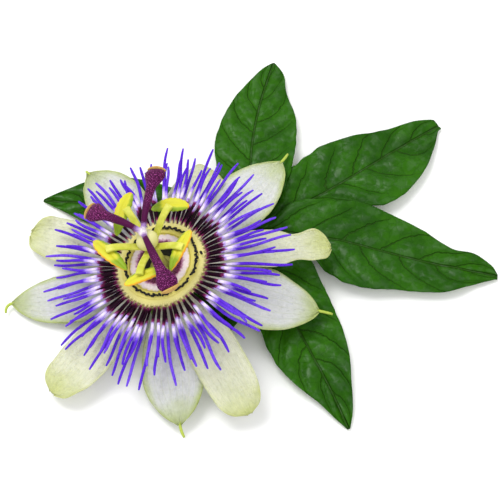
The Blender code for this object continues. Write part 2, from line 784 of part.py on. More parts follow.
LEFT_LOBES = (
    (
        118,
        ((0, 0.3), (5, 3.4), (8, 3.8), (12, 1.4), (14, 0.4)),
        ((0, 0), (14, 0)),
        ((0, -0.3), (5, -3.2), (8, -3.7), (12, -1.5), (14, -0.4)),
    ),
    (
        176.5,
        ((0, 0.3), (8, 4.6), (18, 7.6), (26, 8), (34, 6.2), (42, 2.5), (46.5, 0.5)),
        ((0, 0), (22, 0.5), (46.5, 0)),
        ((0, -0.3), (8, -4.4), (18, -7.4), (27, -8.1), (35, -6.2), (42, -2.8), (46.5, -0.5)),
    ),
    (
        226,
        ((0, 0.3), (5, 2.8), (8, 3.5), (12, 1.4), (14, 0.4)),
        ((0, 0), (14, 0)),
        ((0, -0.3), (5, -3), (8, -3.4), (12, -1.3), (14, -0.4)),
    ),
)
LEFT_HUB = Vector((12.6, 22.6, 1.6)) * MM
LEFT_PETIOLE = ((15.2, 20.9, 1.0), (14.2, 21.6, 1.1), (12.4, 22.7, 1.25))


def lobe_bounds(turns):
    """The degrees that each lobe's root may take on either side: halfway to its neighbours."""
    bounds = []
    for i, turn in enumerate(turns):
        before = abs(turns[i - 1] - turn) / 2 if i > 0 else OUTER_LOBE_BOUND
        after = abs(turns[i + 1] - turn) / 2 if i < len(turns) - 1 else OUTER_LOBE_BOUND
        bounds.append((before, after))
    return bounds


def lobe_place(lobe, index, share, across, limit, hand, hub, waves, trough):
    """A point of a lobe's waved surface, from its share of the length and its place across."""
    turn, left_edge, midrib, right_edge = lobe
    out = polar(turn, 1, 0)
    left = UP.cross(out)
    length = midrib[-1][0]
    reach = LEAF_SINUS_REACH / MM + (length - LEAF_SINUS_REACH / MM) * share
    if share == 0:
        place = polar(turn + hand * across * limit, LEAF_SINUS_REACH, 0)
    else:
        room = reach * math.tan(math.radians(limit)) - GAP / MM
        middle = through(midrib, reach)
        edge = through(left_edge if hand * across > 0 else right_edge, reach)
        edge = min(max(edge, -room), room)
        place = (out * reach + left * (middle + (edge - middle) * abs(across))) * MM
    ends = smooth_step(0, 0.2, share) * (1 - smooth_step(0.88, 1, share))
    level = hub.z + (LOBE_TIP_HEIGHT - hub.z) * share**1.5
    bulge = 0.8 * waves * MM * math.sin(math.pi * share) ** 0.7
    fold = trough * MM * abs(across) * smooth_step(0, 0.25, share) * (1 - smooth_step(0.85, 1, share))
    quilt = 0.3 * waves * MM * math.cos(7 * math.tau * (share - 0.05 * abs(across))) * abs(across)
    edge = 0.35 * waves * MM * math.sin(3.3 * math.tau * share + 1.3 * index + across) * across**2
    return Vector((hub.x + place.x, hub.y + place.y, level + bulge + fold + (quilt + edge) * ends))


def leaf(name, hub, lobes, waves, trough, petiole, petiole_radius, finish):
    """A palmate leaf: waved lobes round a hub in one thin blade, thickened along the midribs."""
    bm = bmesh.new()
    centre = bm.verts.new(hub)
    ribs = [centre]
    turns = [lobe[0] for lobe in lobes]
    hand = -1 if turns[-1] < turns[0] else 1
    shared = None
    for i, (lobe, (before, after)) in enumerate(zip(lobes, lobe_bounds(turns))):
        steps = max(4, round(lobe[2][-1][0] / LOBE_ROW_SPACING))
        rows = []
        for r in range(steps + 1):
            row = [shared] if r == 0 and shared else []
            for k in range(len(row), BLADE_COLUMNS + 1):
                across = 2 * k / BLADE_COLUMNS - 1
                limit = before if across < 0 else after
                place = lobe_place(lobe, i, r / steps, across, limit, hand, hub, waves, trough)
                row.append(bm.verts.new(place))
            rows.append(row)
            ribs.append(row[BLADE_COLUMNS // 2])
        shared = rows[0][-1]
        for near, far in zip(rows, rows[1:]):
            for k in range(BLADE_COLUMNS):
                bm.faces.new((near[k], near[k + 1], far[k + 1], far[k]))
        for k in range(BLADE_COLUMNS):
            bm.faces.new((centre, rows[0][k], rows[0][k + 1]))
    bm.normal_update()
    bmesh.ops.recalc_face_normals(bm, faces=bm.faces)
    if sum(f.normal.z for f in bm.faces) < 0:
        bmesh.ops.reverse_faces(bm, faces=bm.faces)
    bmesh.ops.triangulate(bm, faces=bm.faces, quad_method="FIXED")
    bm.verts.index_update()
    rib_indices = [v.index for v in ribs]
    mesh = bpy.data.meshes.new(name)
    bm.to_mesh(mesh)
    bm.free()
    made = add_object(name, mesh, finish)
    made.vertex_groups.new(name="midribs").add(rib_indices, 1.0, "REPLACE")
    solid = made.modifiers.new("thickness", "SOLIDIFY")
    solid.thickness = MIDRIB_THICKNESS
    solid.offset = -1
    solid.vertex_group = "midribs"
    solid.thickness_vertex_group = LEAF_THICKNESS / MIDRIB_THICKNESS
    path = smooth_path([Vector(p) * MM for p in petiole], 9)
    stalk = tube("petiole", path, [petiole_radius] * len(path), finish)
    return fuse(made, [stalk])


# ---------------------------------------------------------------- the whole flower

for old in list(bpy.data.objects):
    bpy.data.objects.remove(old, do_unlink=True)

flower = bpy.data.collections.new("passion_flower")
bpy.context.scene.collection.children.link(flower)

bloom = bpy.data.objects.new("bloom_frame", None)
bloom.location = (0, 0, BLOOM_HEIGHT)
bloom.rotation_euler = (0, -BLOOM_LEAN, 0)
flower.objects.link(bloom)

column = bpy.data.objects.new("column_frame", None)
column.parent = bloom
column.rotation_euler = COLUMN_LEAN
flower.objects.link(column)

sepal_white = material("sepal_white", (0.62, 0.65, 0.52), 0.5)
petal_cream = material("petal_cream", (0.74, 0.75, 0.52), 0.5)
violet = material("violet", (0.16, 0.06, 0.6), 0.45)
deep_violet = material("deep_violet", (0.09, 0.03, 0.45), 0.45)
near_black = material("near_black", (0.03, 0.01, 0.03), 0.5)
lilac = material("lilac", (0.55, 0.42, 0.48), 0.5)
leaf_green = material("leaf_green", (0.04, 0.12, 0.02), 0.35)
stalk_green = material("stalk_green", (0.22, 0.34, 0.08), 0.5)
stamen_green = material("stamen_green", (0.5, 0.55, 0.08), 0.45)
pollen_orange = material("pollen_orange", (0.55, 0.5, 0.06), 0.6)
ovary_cream = material("ovary_cream", (0.72, 0.7, 0.35), 0.4)
style_purple = material("style_purple", (0.1, 0.015, 0.07), 0.4)
stigma_tan = material("stigma_tan", (0.6, 0.4, 0.12), 0.6)

for number, values in enumerate(SEPALS):
    sepal(number, values, sepal_white, bloom)
for number, values in enumerate(PETALS):
    petal(number, values, petal_cream, bloom)

filament_row(
    "corona_lower", -2.75 * MM, -1.5 * MM, -0.9 * MM, 1.01 * FILAMENT_REACH, 11, deep_violet, bloom
)
filament_row(
    "corona_upper", -1.15 * MM, 0.0 * MM, 1.6 * MM, UPPER_REACH_SHARE * FILAMENT_REACH,
    23, violet, bloom,
)
short_corona(near_black, bloom)
operculum(lilac, bloom)

hypanthium(stalk_green, bloom)
androgynophore(stamen_green, column)
for number, values in enumerate(ANTHERS):
    anther(number, values, pollen_orange, column)
ovary(ovary_cream, column)
styles(style_purple, column)
for number, values in enumerate(STYLES):
    stigma(number, values, stigma_tan, column)
for number in range(3):
    bract(number, 20 + 120 * number, stalk_green, bloom)

peduncle(stalk_green)
vine_stem(stalk_green)
leaf("leaf_right", RIGHT_HUB, RIGHT_LOBES, 1.0, 0.55, RIGHT_PETIOLE, 0.75 * MM, leaf_green)
leaf("leaf_left", LEFT_HUB, LEFT_LOBES, 0.15, 0.2, LEFT_PETIOLE, 0.6 * MM, leaf_green)
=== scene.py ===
# A cut passion flower lying face up, dressed for rendering: tepals, corona, column, stamens,
# styles, cup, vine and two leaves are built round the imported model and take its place.
# Lengths are given in millimetres and turned into metres by mm.

import math
import random

import bmesh
import bpy
from mathutils import Matrix, Vector, noise


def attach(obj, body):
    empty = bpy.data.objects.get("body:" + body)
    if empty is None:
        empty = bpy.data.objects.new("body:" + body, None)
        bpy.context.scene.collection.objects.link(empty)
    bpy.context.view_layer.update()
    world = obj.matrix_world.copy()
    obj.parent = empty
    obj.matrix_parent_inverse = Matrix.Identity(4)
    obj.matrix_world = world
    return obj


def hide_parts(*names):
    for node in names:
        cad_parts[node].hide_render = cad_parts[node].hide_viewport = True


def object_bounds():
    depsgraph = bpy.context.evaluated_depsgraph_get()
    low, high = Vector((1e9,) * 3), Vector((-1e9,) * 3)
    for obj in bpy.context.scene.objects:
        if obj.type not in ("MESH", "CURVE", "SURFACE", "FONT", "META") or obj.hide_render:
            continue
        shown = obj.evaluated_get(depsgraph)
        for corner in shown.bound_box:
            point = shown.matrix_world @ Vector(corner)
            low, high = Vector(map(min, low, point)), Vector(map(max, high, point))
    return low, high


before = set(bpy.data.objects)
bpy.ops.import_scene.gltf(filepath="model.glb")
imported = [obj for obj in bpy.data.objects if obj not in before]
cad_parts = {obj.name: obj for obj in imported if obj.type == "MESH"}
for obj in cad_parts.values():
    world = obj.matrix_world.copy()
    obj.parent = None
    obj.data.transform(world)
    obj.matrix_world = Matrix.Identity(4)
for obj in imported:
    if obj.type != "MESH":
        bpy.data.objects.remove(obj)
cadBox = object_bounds()
print("frame loaded with", len(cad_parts), "nodes")

mm = 0.001
up = Vector((0, 0, 1))
colours = {
    "sepalWhite": "#dbdcda",
    "sepalMargin": "#b2c070",
    "sepalBack": "#8ea552",
    # painted light: a paler tepal root, where the filaments' shade falls
    "tepalRootPaintedLight": "#eef0de",
    "petalCream": "#e2e3c9",
    "petalTip": "#c6cd7c",
    "ringCream": "#ddd06c",
    "ringOlive": "#cbbc4a",
    "ringPale": "#e0d898",
    "magenta": "#7a2058",
    "nearBlack": "#1a0415",
    "bandWhite": "#e2d7f3",
    "bandLilac": "#b9a0ee",
    "blueViolet": "#5829c8",
    "lightViolet": "#7d56e6",
    "deepViolet": "#37119a",
    "membraneLilac": "#d9c8cc",
    "fringePurple": "#6a1848",
    "stamenGreen": "#bcc136",
    "stamenPale": "#d2d25c",
    "antherGreen": "#86a31c",
    "antherYellow": "#ccc82e",
    "antherOrange": "#e89a18",
    "ovaryCream": "#cfca72",
    "stylePurple": "#480a3a",
    "stylePink": "#a3458c",
    "khaki": "#a39c58",
    "styleDark": "#1c0417",
    "styleWhite": "#e2d8da",
    "stigmaTan": "#d8b468",
    "leafGreen": "#295c08",
    "leafLight": "#3f780e",
    "leafDark": "#1d4907",
    "leafUnder": "#7f9a5e",
    "veinOlive": "#24430f",
    "stemGreen": "#7d9440",
    "stemCut": "#cdd6a0",
    "cupGreen": "#64803a",
    "hollowPaintedShade": "#2b2a18",
    "awnGreen": "#8fa83a",
    "awnPale": "#c3cf5c",
    "headBlack": "#0a050b",
    "fringePink": "#b07a9a",
    "ovaryTopPaintedLight": "#dcd79c",
    "ovaryGrain": "#cfd07a",
    "styleLilac": "#9a78b4",
    "stigmaBrown": "#b08748",
    "bractGreen": "#5f8a34",
    "bractLight": "#93ad55",
    "bractVein": "#b9c97c",
    "underDark": "#5f7f45",
    "underLight": "#93ad72",
    "underVein": "#a9b884",
    "floorWhite": "#fafafa",
}


# Helpers for shapes

def ease(low, high, value):
    share = min(max((value - low) / (high - low), 0), 1)
    return share * share * (3 - 2 * share)


def curveThrough(knots, value):
    # a smooth curve through (place, value) knots
    last = len(knots) - 1
    for i in range(last):
        if value <= knots[i + 1][0] or i == last - 1:
            break
    (x1, y1), (x2, y2) = knots[i], knots[i + 1]
    x0, y0 = knots[max(i - 1, 0)]
    x3, y3 = knots[min(i + 2, last)]
    span = x2 - x1
    slope1 = (y2 - y0) / (x2 - x0) * span
    slope2 = (y3 - y1) / (x3 - x1) * span
    t = min(max((value - x1) / span, 0), 1)
    return (
        (2 * t**3 - 3 * t**2 + 1) * y1
        + (t**3 - 2 * t**2 + t) * slope1
        + (3 * t**2 - 2 * t**3) * y2
        + (t**3 - t**2) * slope2
    )


def smoothPath(points, count):
    # evenly numbered places on a Catmull-Rom curve through the points
    held = [Vector(p) for p in points]
    held = [held[0] * 2 - held[1]] + held + [held[-1] * 2 - held[-2]]
    spans = len(held) - 3
    path = []
    for i in range(count):
        place = min(i / (count - 1) * spans, spans - 1e-9)
        k = int(place)
        t = place - k
        a, b, c, d = held[k : k + 4]
        square, cube = 2 * a - 5 * b + 4 * c - d, 3 * b - a - 3 * c + d
        path.append(0.5 * (2 * b + (c - a) * t + square * t**2 + cube * t**3))
    return path


def polar(degrees, reach, height=0):
    turn = math.radians(degrees)
    return Vector((reach * math.cos(turn), reach * math.sin(turn), height))


def growTubes(bm, tubes, sides, squareness=1.0):
    # each tube is a list of rings (middle, side, over, half width, half height), as many in every
    # tube; a squareness under 1 turns the ellipses into rounded oblongs, and the layers under and
    # edge mark each tube's underside and its sides
    tag = bm.faces.layers.int.get("tube") or bm.faces.layers.int.new("tube")
    for name in ("under", "edge"):
        if not bm.verts.layers.float.get(name):
            bm.verts.layers.float.new(name)
    marks = bm.verts.layers.float["under"], bm.verts.layers.float["edge"]
    before = set(bm.faces)
    ends = []
    for number, rings in enumerate(tubes):
        disc = bmesh.ops.create_circle(bm, cap_ends=True, segments=sides, radius=mm)["verts"]
        face = disc[0].link_faces[0]
        face[tag] = number
        setRing(face, rings[0], squareness, marks)
        ends.append(face)
    for step in range(1, len(tubes[0])):
        ends = bmesh.ops.extrude_discrete_faces(bm, faces=ends)["faces"]
        for face in ends:
            setRing(face, tubes[face[tag]][step], squareness, marks)
    made = [f for f in bm.faces if f not in before]
    rims = {e for f in made for e in f.edges if e.is_boundary}
    bmesh.ops.holes_fill(bm, edges=list(rims))


def setRing(face, ring, squareness, marks):
    middle, side, over, halfWidth, halfHeight = ring
    under, edge = marks
    count = len(face.verts)
    for k, vert in enumerate(face.verts):
        angle = math.tau * k / count
        across = math.copysign(abs(math.cos(angle)) ** squareness, math.cos(angle))
        above = math.copysign(abs(math.sin(angle)) ** squareness, math.sin(angle))
        vert.co = middle + side * halfWidth * across + over * halfHeight * above
        vert[under] = above < -0.3
        vert[edge] = abs(across)


def headingAt(path, i):
    last = len(path) - 1
    return (path[min(i + 1, last)] - path[max(i - 1, 0)]).normalized()


def ringsAlong(path, widths, heights, flatTo=up):
    # rings square to the path, with their flat side turned to flatTo
    rings = []
    for i, middle in enumerate(path):
        along = headingAt(path, i)
        side = along.cross(flatTo).normalized()
        rings.append((middle, side, side.cross(along), widths[i], heights[i]))
    return rings


def spinProfile(bm, profile, steps, closed=False):
    # turns a profile of (reach, height) round the axis; one that isn't closed starts and ends on it
    verts = [bm.verts.new((r * mm, 0, z * mm)) for r, z in profile]
    edges = [bm.edges.new((verts[i - 1], verts[i])) for i in range(0 if closed else 1, len(verts))]
    turn = {"axis": up, "cent": (0, 0, 0), "angle": math.tau, "steps": steps, "use_merge": True}
    bmesh.ops.spin(bm, geom=verts + edges, **turn)
    if not closed:
        bmesh.ops.remove_doubles(bm, verts=bm.verts, dist=0.001 * mm)


def roundBall(columns, rows):
    bm = bmesh.new()
    bmesh.ops.create_uvsphere(bm, u_segments=columns, v_segments=rows, radius=1)
    return bm


def nodeMiddle(node):
    corners = [v.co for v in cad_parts[node].data.vertices]
    return sum(corners, Vector()) / len(corners)


def frameAlong(origin, axis):
    across = Vector((0, 1, 0)).cross(axis).normalized()
    turn = Matrix((across, axis.cross(across), axis)).transposed().to_4x4()
    return Matrix.Translation(origin) @ turn


def bloomPlace():
    # the bloom's own frame: its axis runs from the cup to the low dark row, and its height comes
    # from the cup's foot
    cupFoot = -8.9 * mm
    middle = nodeMiddle("hypanthium")
    axis = (nodeMiddle("corona_short") - middle).normalized()
    foot = min((v.co - middle).dot(axis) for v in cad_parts["hypanthium"].data.vertices)
    return frameAlong(middle + axis * (foot - cupFoot), axis)


bloom = bloomPlace()
core = frameAlong(bloom.translation, (nodeMiddle("ovary") - bloom.translation).normalized())
print("bloom frame:", [round(value / mm, 2) for value in bloom.translation])


def linked(name, data):
    made = bpy.data.objects.new(name, data)
    bpy.context.scene.collection.objects.link(made)
    return made


def addPiece(name, bm, finishes, node, place=None, outwards=False):
    if outwards:
        bmesh.ops.recalc_face_normals(bm, faces=bm.faces)
    if place:
        bm.transform(place)
    bm.normal_update()
    mesh = bpy.data.meshes.new(name)
    bm.to_mesh(mesh)
    bm.free()
    for finish in finishes:
        mesh.materials.append(finish)
    mesh.shade_smooth()
    piece = linked(name, mesh)
    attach(piece, "root")
    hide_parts(node)
    return piece


def giveThickness(piece, values, backMaterial=0):
    # the drawn surface is the upper one; the thickness goes below it, and thins out to the rim
    piece.vertex_groups.new(name="inner")
    solid = piece.modifiers.new("thickness", "SOLIDIFY")
    solid.thickness = values["thickness"] * mm
    solid.offset = -1
    solid.vertex_group = "inner"
    solid.thickness_vertex_group = values["rim"] / values["thickness"]
    solid.material_offset = backMaterial


def meltTogether(piece, voxel, smoothing):
    # joins the overlapping shapes of a piece in one skin
    melt = piece.modifiers.new("melt", "REMESH")
    melt.mode = "VOXEL"
    melt.voxel_size = voxel
    melt.use_smooth_shade = True
    calm = piece.modifiers.new("calm", "SMOOTH")
    calm.factor = 0.5
    calm.iterations = smoothing


# Helpers for materials

def linear(name):
    channels = [int(colours[name][i : i + 2], 16) / 255 for i in (1, 3, 5)]
    return (*[c / 12.92 if c <= 0.04045 else ((c + 0.055) / 1.055) ** 2.4 for c in channels], 1)


def newFinish(name, roughness, specular=0.5, soft=0.0, softReach=1.0):
    finish = bpy.data.materials.new(name)
    finish.use_nodes = True
    shader = finish.node_tree.nodes["Principled BSDF"]
    shader.inputs["Roughness"].default_value = roughness
    shader.inputs["Specular IOR Level"].default_value = specular
    shader.inputs["Subsurface Weight"].default_value = soft
    shader.inputs["Subsurface Radius"].default_value = (1.0, 0.9, 0.6)
    shader.inputs["Subsurface Scale"].default_value = softReach * mm
    return finish


def addNode(source, kind, inputs=None, **settings):
    # the node goes in the tree of the source, which is a material or a socket
    tree = source.id_data if isinstance(source, bpy.types.NodeSocket) else source.node_tree
    node = tree.nodes.new("ShaderNode" + kind)
    for key, value in settings.items():
        setattr(node, key, value)
    for key, value in (inputs or {}).items():
        if isinstance(value, bpy.types.NodeSocket):
            tree.links.new(value, node.inputs[key])
        else:
            node.inputs[key].default_value = value
    return node


def sums(operation, first, second=0.0, third=0.0):
    return addNode(first, "Math", {0: first, 1: second, 2: third}, operation=operation).outputs[0]


def times(first, second):
    return sums("MULTIPLY", first, second)


def timesPlus(first, second, third):
    return sums("MULTIPLY_ADD", first, second, third)


def rise(value, low, high):
    # 0 below low and 1 above high, eased between, or the other way round where low is the higher
    inputs = {"Value": value, "From Min": low, "From Max": high}
    return addNode(value, "MapRange", inputs, interpolation_type="SMOOTHSTEP").outputs[0]


def blend(share, first, second, mode="MIX"):
    values = (share, first, second)
    source = next(value for value in values if isinstance(value, bpy.types.NodeSocket))
    inputs = {k: linear(v) if isinstance(v, str) else v for k, v in zip((0, 6, 7), values)}
    return addNode(source, "Mix", inputs, data_type="RGBA", blend_type=mode).outputs[2]


def tint(colour, other, share, strength):
    # the colour, turned towards another by a share of the strength
    return blend(times(share, strength), colour, other)


def ramp(value, span, stops):
    # colours by place, on a scale that ends at span
    node = addNode(value, "ValToRGB", {"Fac": sums("DIVIDE", value, span)})
    elements = node.color_ramp.elements
    while len(elements) < len(stops):
        elements.new(0.5)
    for element, (place, colour) in zip(elements, stops):
        element.position = place / span
        element.color = linear(colour)
    return node.outputs[0]


def objectPlace(finish, scale=1.0):
    # Object coordinates in millimetres times scale
    source = addNode(finish, "TexCoord").outputs["Object"]
    return addNode(finish, "Mapping", {"Vector": source, "Scale": (scale / mm,) * 3}).outputs[0]


def bloomCoordinates(finish):
    # the place in the bloom's own frame, in millimetres: (reach, height, vector)
    source = addNode(finish, "TexCoord").outputs["Object"]
    back = bloom.inverted()
    inputs = {"Vector": source, "Rotation": back.to_euler(), "Location": back.translation}
    turned = addNode(finish, "Mapping", inputs).outputs[0]
    inMm = addNode(finish, "VectorMath", {0: turned, 1: (1 / mm,) * 3}, operation="MULTIPLY").outputs[0]
    parts = addNode(finish, "SeparateXYZ", {0: inMm})
    squares = times(parts.outputs[0], parts.outputs[0])
    squares = timesPlus(parts.outputs[1], parts.outputs[1], squares)
    return sums("SQRT", squares), parts.outputs[2], inMm


def noiseOf(place, scale, detail=3.0, roughness=0.5):
    inputs = {"Vector": place, "Scale": scale, "Detail": detail, "Roughness": roughness}
    return addNode(place, "TexNoise", inputs).outputs["Fac"]


def attribute(finish, name):
    return addNode(finish, "Attribute", attribute_name=name).outputs["Fac"]


def asideOf(u, width=2.0):
    # how far a map's place lies from its middle, on a map of that width
    return sums("ABSOLUTE", timesPlus(u, width, -width / 2))


def fromWhole(phase):
    # 0.5 at whole numbers and 0 halfway between them
    return sums("ABSOLUTE", sums("SUBTRACT", sums("FRACT", phase), 0.5))


def paintShade(colour, share, shade):
    # painted shade: darker by the shade where the share is 0
    return blend(1.0, colour, blend(share, shade, (1, 1, 1, 1)), "MULTIPLY")


def ownMap(finish, name):
    parts = addNode(finish, "SeparateXYZ", {0: addNode(finish, "UVMap", uv_map=name).outputs[0]})
    return parts.outputs[0], parts.outputs[1]


def bumps(height, depth, strength=1.0, under=None):
    inputs = {"Height": height, "Distance": depth * mm, "Strength": strength}
    if under:
        inputs["Normal"] = under
    return addNode(height, "Bump", inputs).outputs[0]


def setShader(finish, **sockets):
    names = {"colour": "Base Color", "specular": "Specular IOR Level", "normal": "Normal"}
    shader = finish.node_tree.nodes["Principled BSDF"]
    for key, socket in sockets.items():
        finish.node_tree.links.new(socket, shader.inputs[names[key]])
    return finish


# Tepals: five sepals, white inside and green outside, and five petals

tepals = {
    "rootReach": 8.7,
    "archReach": 24,
    "thickness": 0.66,
    "rim": 0.3,
    "columns": 30,
    "rows": 84,
    "wrinkle": 0.6,
    "fineWrinkle": 0.16,
    "nerves": 9,
    # painted shade for the low parts of the tepals' cells and crinkles
    "cellPaintedShade": (0.86, 0.87, 0.86, 1),
    "crinklePaintedShade": (0.93, 0.935, 0.92, 1),
    "awnLengths": (3.6, 1.6, 3.1, 3.15, 3.6),
    "awnRadius": 0.12,
    "awnDrops": (0.4, 1.2, 0.5, 0.4, 0.4),
    "keelFrom": 0.6,
    "sepalOutline": (
        (0, 0.34), (0.16, 0.55), (0.42, 0.93), (0.6, 1), (0.7, 0.94), (0.8, 0.8), (0.9, 0.55),
        (0.96, 0.3), (1, 0.05),
    ),
    "petalOutline": (
        (0, 0.38), (0.16, 0.56), (0.42, 0.92), (0.62, 1), (0.8, 0.96), (0.91, 0.8), (0.97, 0.55), (1, 0.12),
    ),
    # turn at the root, further turn, reach and height of the tip, height of the arch, half width,
    # curl of the tip, fold of its edges, waist, and for a sepal the turn of its awn
    "sepals": (
        (46, 4, 44.8, -15.3, -6.7, 9.0, 0.0, 0.8, 0.0, 10),
        (121, 5, 40.5, -5.6, -5.9, 8.0, 0.0, 0.6, 0.0, 0),
        (192, -4, 42.3, -2.3, -7.0, 7.2, 0.0, 0.6, 0.0, 55),
        (271.5, 2, 40.2, -12.3, -7.0, 8.4, 0.0, 0.3, 0.0, 10),
        (337, 8, 39.5, -17.4, -6.0, 8.4, 0.0, 0.4, 0.0, 0),
    ),
    "petals": (
        (10, -1, 42.8, -16.6, -2.4, 5.6, 1.6, 2.4, 0.32),
        (83, -14, 33.0, -11.7, -2.4, 5.6, 0.6, 1.0, 0.0),
        (156, 3, 41.0, -3.5, -3.6, 6.2, 0.8, 1.4, 0.0),
        (228, -1, 43.3, -5.5, -3.8, 7.0, 1.8, 1.6, 0.0),
        (300, -2, 43.0, -16.4, -2.4, 6.6, 1.6, 2.4, 0.0),
    ),
    "sepalRoot": -5.0,
    "petalRoot": -3.5,
}


def tepalMiddle(row, rootHeight, t):
    # a point of the tepal's middle line, in the bloom's frame
    turn, swing, reach, tip, arch = row[:5]
    out = tepals["rootReach"] * (1 - t) ** 2 + tepals["archReach"] * 2 * t * (1 - t) + reach * t**2
    height = rootHeight * (1 - t) ** 2 + arch * 2 * t * (1 - t) + tip * t**2 + row[6] * ease(0.8, 1, t)
    return polar(turn + swing * t, out * mm, height * mm)


def tepalAxes(row, rootHeight, share):
    along = tepalMiddle(row, rootHeight, share + 0.01) - tepalMiddle(row, rootHeight, share - 0.01)
    along.normalize()
    side = along.cross(up).normalized()
    return along, side, side.cross(along)


def bladeGrid(columns, rows):
    # a flat grid with its own map: u across and v along
    bm = bmesh.new()
    bm.loops.layers.uv.new("blade")
    bmesh.ops.create_grid(bm, x_segments=columns, y_segments=rows, size=1, calc_uvs=True)
    bm.verts.layers.deform.new()
    return bm


def weighEdges(bm, margin):
    # weight 1 inside and 0 at the edge of a blade, for its thickness
    deform = bm.verts.layers.deform.active
    for vert in bm.verts:
        edge = min(1 - abs(vert.co.x), (1 - abs(vert.co.y)) * 1.5)
        vert[deform][0] = ease(0, margin, edge)


def tepalBlade(row, rootHeight, outline, lift, seed):
    bm = bladeGrid(tepals["columns"], tepals["rows"])
    weighEdges(bm, 0.3)
    half, waist = row[5], row[8]
    for vert in bm.verts:
        across, share = vert.co.x, (vert.co.y + 1) / 2
        side, over = tepalAxes(row, rootHeight, share)[1:]
        width = half * curveThrough(outline, share) * (1 - waist * math.exp(-(((share - 0.76) / 0.1) ** 2)))
        width *= 1 + 0.05 * noise.noise(Vector((3 * share, math.copysign(2, across), seed)))
        coarse = tepals["wrinkle"] * noise.noise(Vector((1.8 * across, 5 * share, seed + 9)))
        fine = tepals["fineWrinkle"] * noise.noise(Vector((6 * across, 18 * share, seed + 5)))
        grown = ease(0.05, 0.3, share)
        raised = lift(share, across) + (coarse * grown + fine * grown)
        vert.co = tepalMiddle(row, rootHeight, share) + (side * width * across + over * raised) * mm
    return bm


def addSepal(index, row):
    root = tepals["sepalRoot"]

    def lift(share, across):
        ripple = 0.25 * math.sin(2.6 * math.tau * share + index) * across**2
        convex = -0.7 * across**2 * ease(0.1, 0.4, share)
        rolled = row[7] * abs(across) ** 3 * ease(0.75, 0.95, share)
        return (ripple + convex + rolled) * (1 - ease(0.94, 1, share))

    bm = tepalBlade(row, root, tepals["sepalOutline"], lift, index)
    tip = tepalMiddle(row, root, 1)
    outward = (tip - tepalMiddle(row, root, 0.97)).normalized()
    path = []
    for k in range(8):  # the keel under the blade
        share = tepals["keelFrom"] + (1 - tepals["keelFrom"]) * k / 8
        over = tepalAxes(row, root, share)[2]
        path.append(tepalMiddle(row, root, share) - over * tepals["thickness"] * mm)
    for k in range(6):  # the awn beyond it
        share = k / 5
        aside = Matrix.Rotation(math.radians(row[9]) * share, 3, "Z")
        drop = up * (-tepals["awnDrops"][index] * share**2 - 0.3 * (1 - share)) * mm
        path.append(tip + aside @ outward * tepals["awnLengths"][index] * mm * share + drop)
    widths = [tepals["awnRadius"] * mm * min(0.3 + 0.14 * k, 1.2 - 0.05 * k) for k in range(len(path))]
    plain = len(bm.faces)
    growTubes(bm, [ringsAlong(path, widths, widths)], 8)
    bm.faces.ensure_lookup_table()
    for face in bm.faces[plain:]:
        face.material_index = 2
    finishes = [sepalInside, sepalOutside, awnFinish]
    piece = addPiece(f"sepal{index + 1}", bm, finishes, f"sepal_{index + 1}", bloom)
    giveThickness(piece, tepals, backMaterial=1)


def addPetal(index, row):
    def lift(share, across):
        ripple = 0.2 * math.sin(3 * math.tau * share + 2 * index) * across**2
        hollow = 0.35 * across**2 * ease(0.1, 0.4, share)
        folded = row[7] * across**2 * ease(0.72, 0.95, share)
        return (ripple + hollow + folded) * (1 - ease(0.88, 1, share))

    bm = tepalBlade(row, tepals["petalRoot"], tepals["petalOutline"], lift, index + 20)
    piece = addPiece(f"petal{index + 1}", bm, [petalFinish], f"petal_{index + 1}", bloom)
    giveThickness(piece, tepals)


def tepalFinish(name, middle, margin, tipColour, marginFrom, roughness):
    # satin skin of long fine cells, with a few faint nerves and a tinted margin and tip, painted shade in
    # the low parts of the cells and crinkles, and painted light on the root
    finish = newFinish(name, roughness, specular=0.45, soft=0.25, softReach=1.2)
    u, v = ownMap(finish, "blade")
    across = asideOf(u)
    place = addNode(finish, "CombineXYZ", {0: u, 1: times(v, 0.32)}).outputs[0]
    cells = noiseOf(place, 60, 4, 0.6)
    cloud = noiseOf(objectPlace(finish, 0.16), 1, 3)
    edge = timesPlus(cloud, 0.3, across)
    tinted = rise(edge, marginFrom, marginFrom + 0.4)
    colour = blend(tinted, middle, margin)
    tipward = rise(timesPlus(cloud, 0.25, v), 0.86, 1.2)
    colour = blend(tipward, colour, tipColour)
    # painted light: the root, which lies in the filaments' shade, is made paler
    colour = blend(rise(v, 0.35, 0.15), colour, "tepalRootPaintedLight")
    nerve = rise(sums("SINE", times(u, tepals["nerves"] * math.tau)), 0.72, 1.0)
    colour = tint(colour, margin, nerve, 0.13)
    # painted shade: the low parts of the cells and crinkles, which the bumps sink, are darkened
    colour = paintShade(colour, rise(cells, 0.3, 0.75), tepals["cellPaintedShade"])
    crinkle = noiseOf(objectPlace(finish), 1.0, 4, 0.55)
    colour = paintShade(colour, rise(crinkle, 0.3, 0.65), tepals["crinklePaintedShade"])
    normal = bumps(crinkle, 0.9, 0.8)
    normal = bumps(cells, 0.3, 0.8, normal)
    normal = bumps(nerve, 0.08, 0.5, normal)
    return setShader(finish, colour=colour, normal=normal)


def makeAwnFinish():
    finish = newFinish("awnFinish", 0.5, specular=0.2)
    grain = noiseOf(objectPlace(finish), 2.0, 3)
    colour = blend(grain, "awnGreen", "awnPale")
    return setShader(finish, colour=colour, normal=bumps(grain, 0.1, 0.4))


awnFinish = makeAwnFinish()
sepalInside = tepalFinish("sepalInside", "sepalWhite", "sepalMargin", "sepalMargin", 0.82, 0.42)
sepalOutside = tepalFinish("sepalOutside", "sepalBack", "sepalMargin", "sepalBack", 0.7, 0.5)
petalFinish = tepalFinish("petalFinish", "petalCream", "petalTip", "petalTip", 0.95, 0.42)

for index, row in enumerate(tepals["sepals"]):
    addSepal(index, row)
for index, row in enumerate(tepals["petals"]):
    addPetal(index, row)
print("tepals made")


# Corona: two rows of long filaments on their rings, and the low row with dark heads

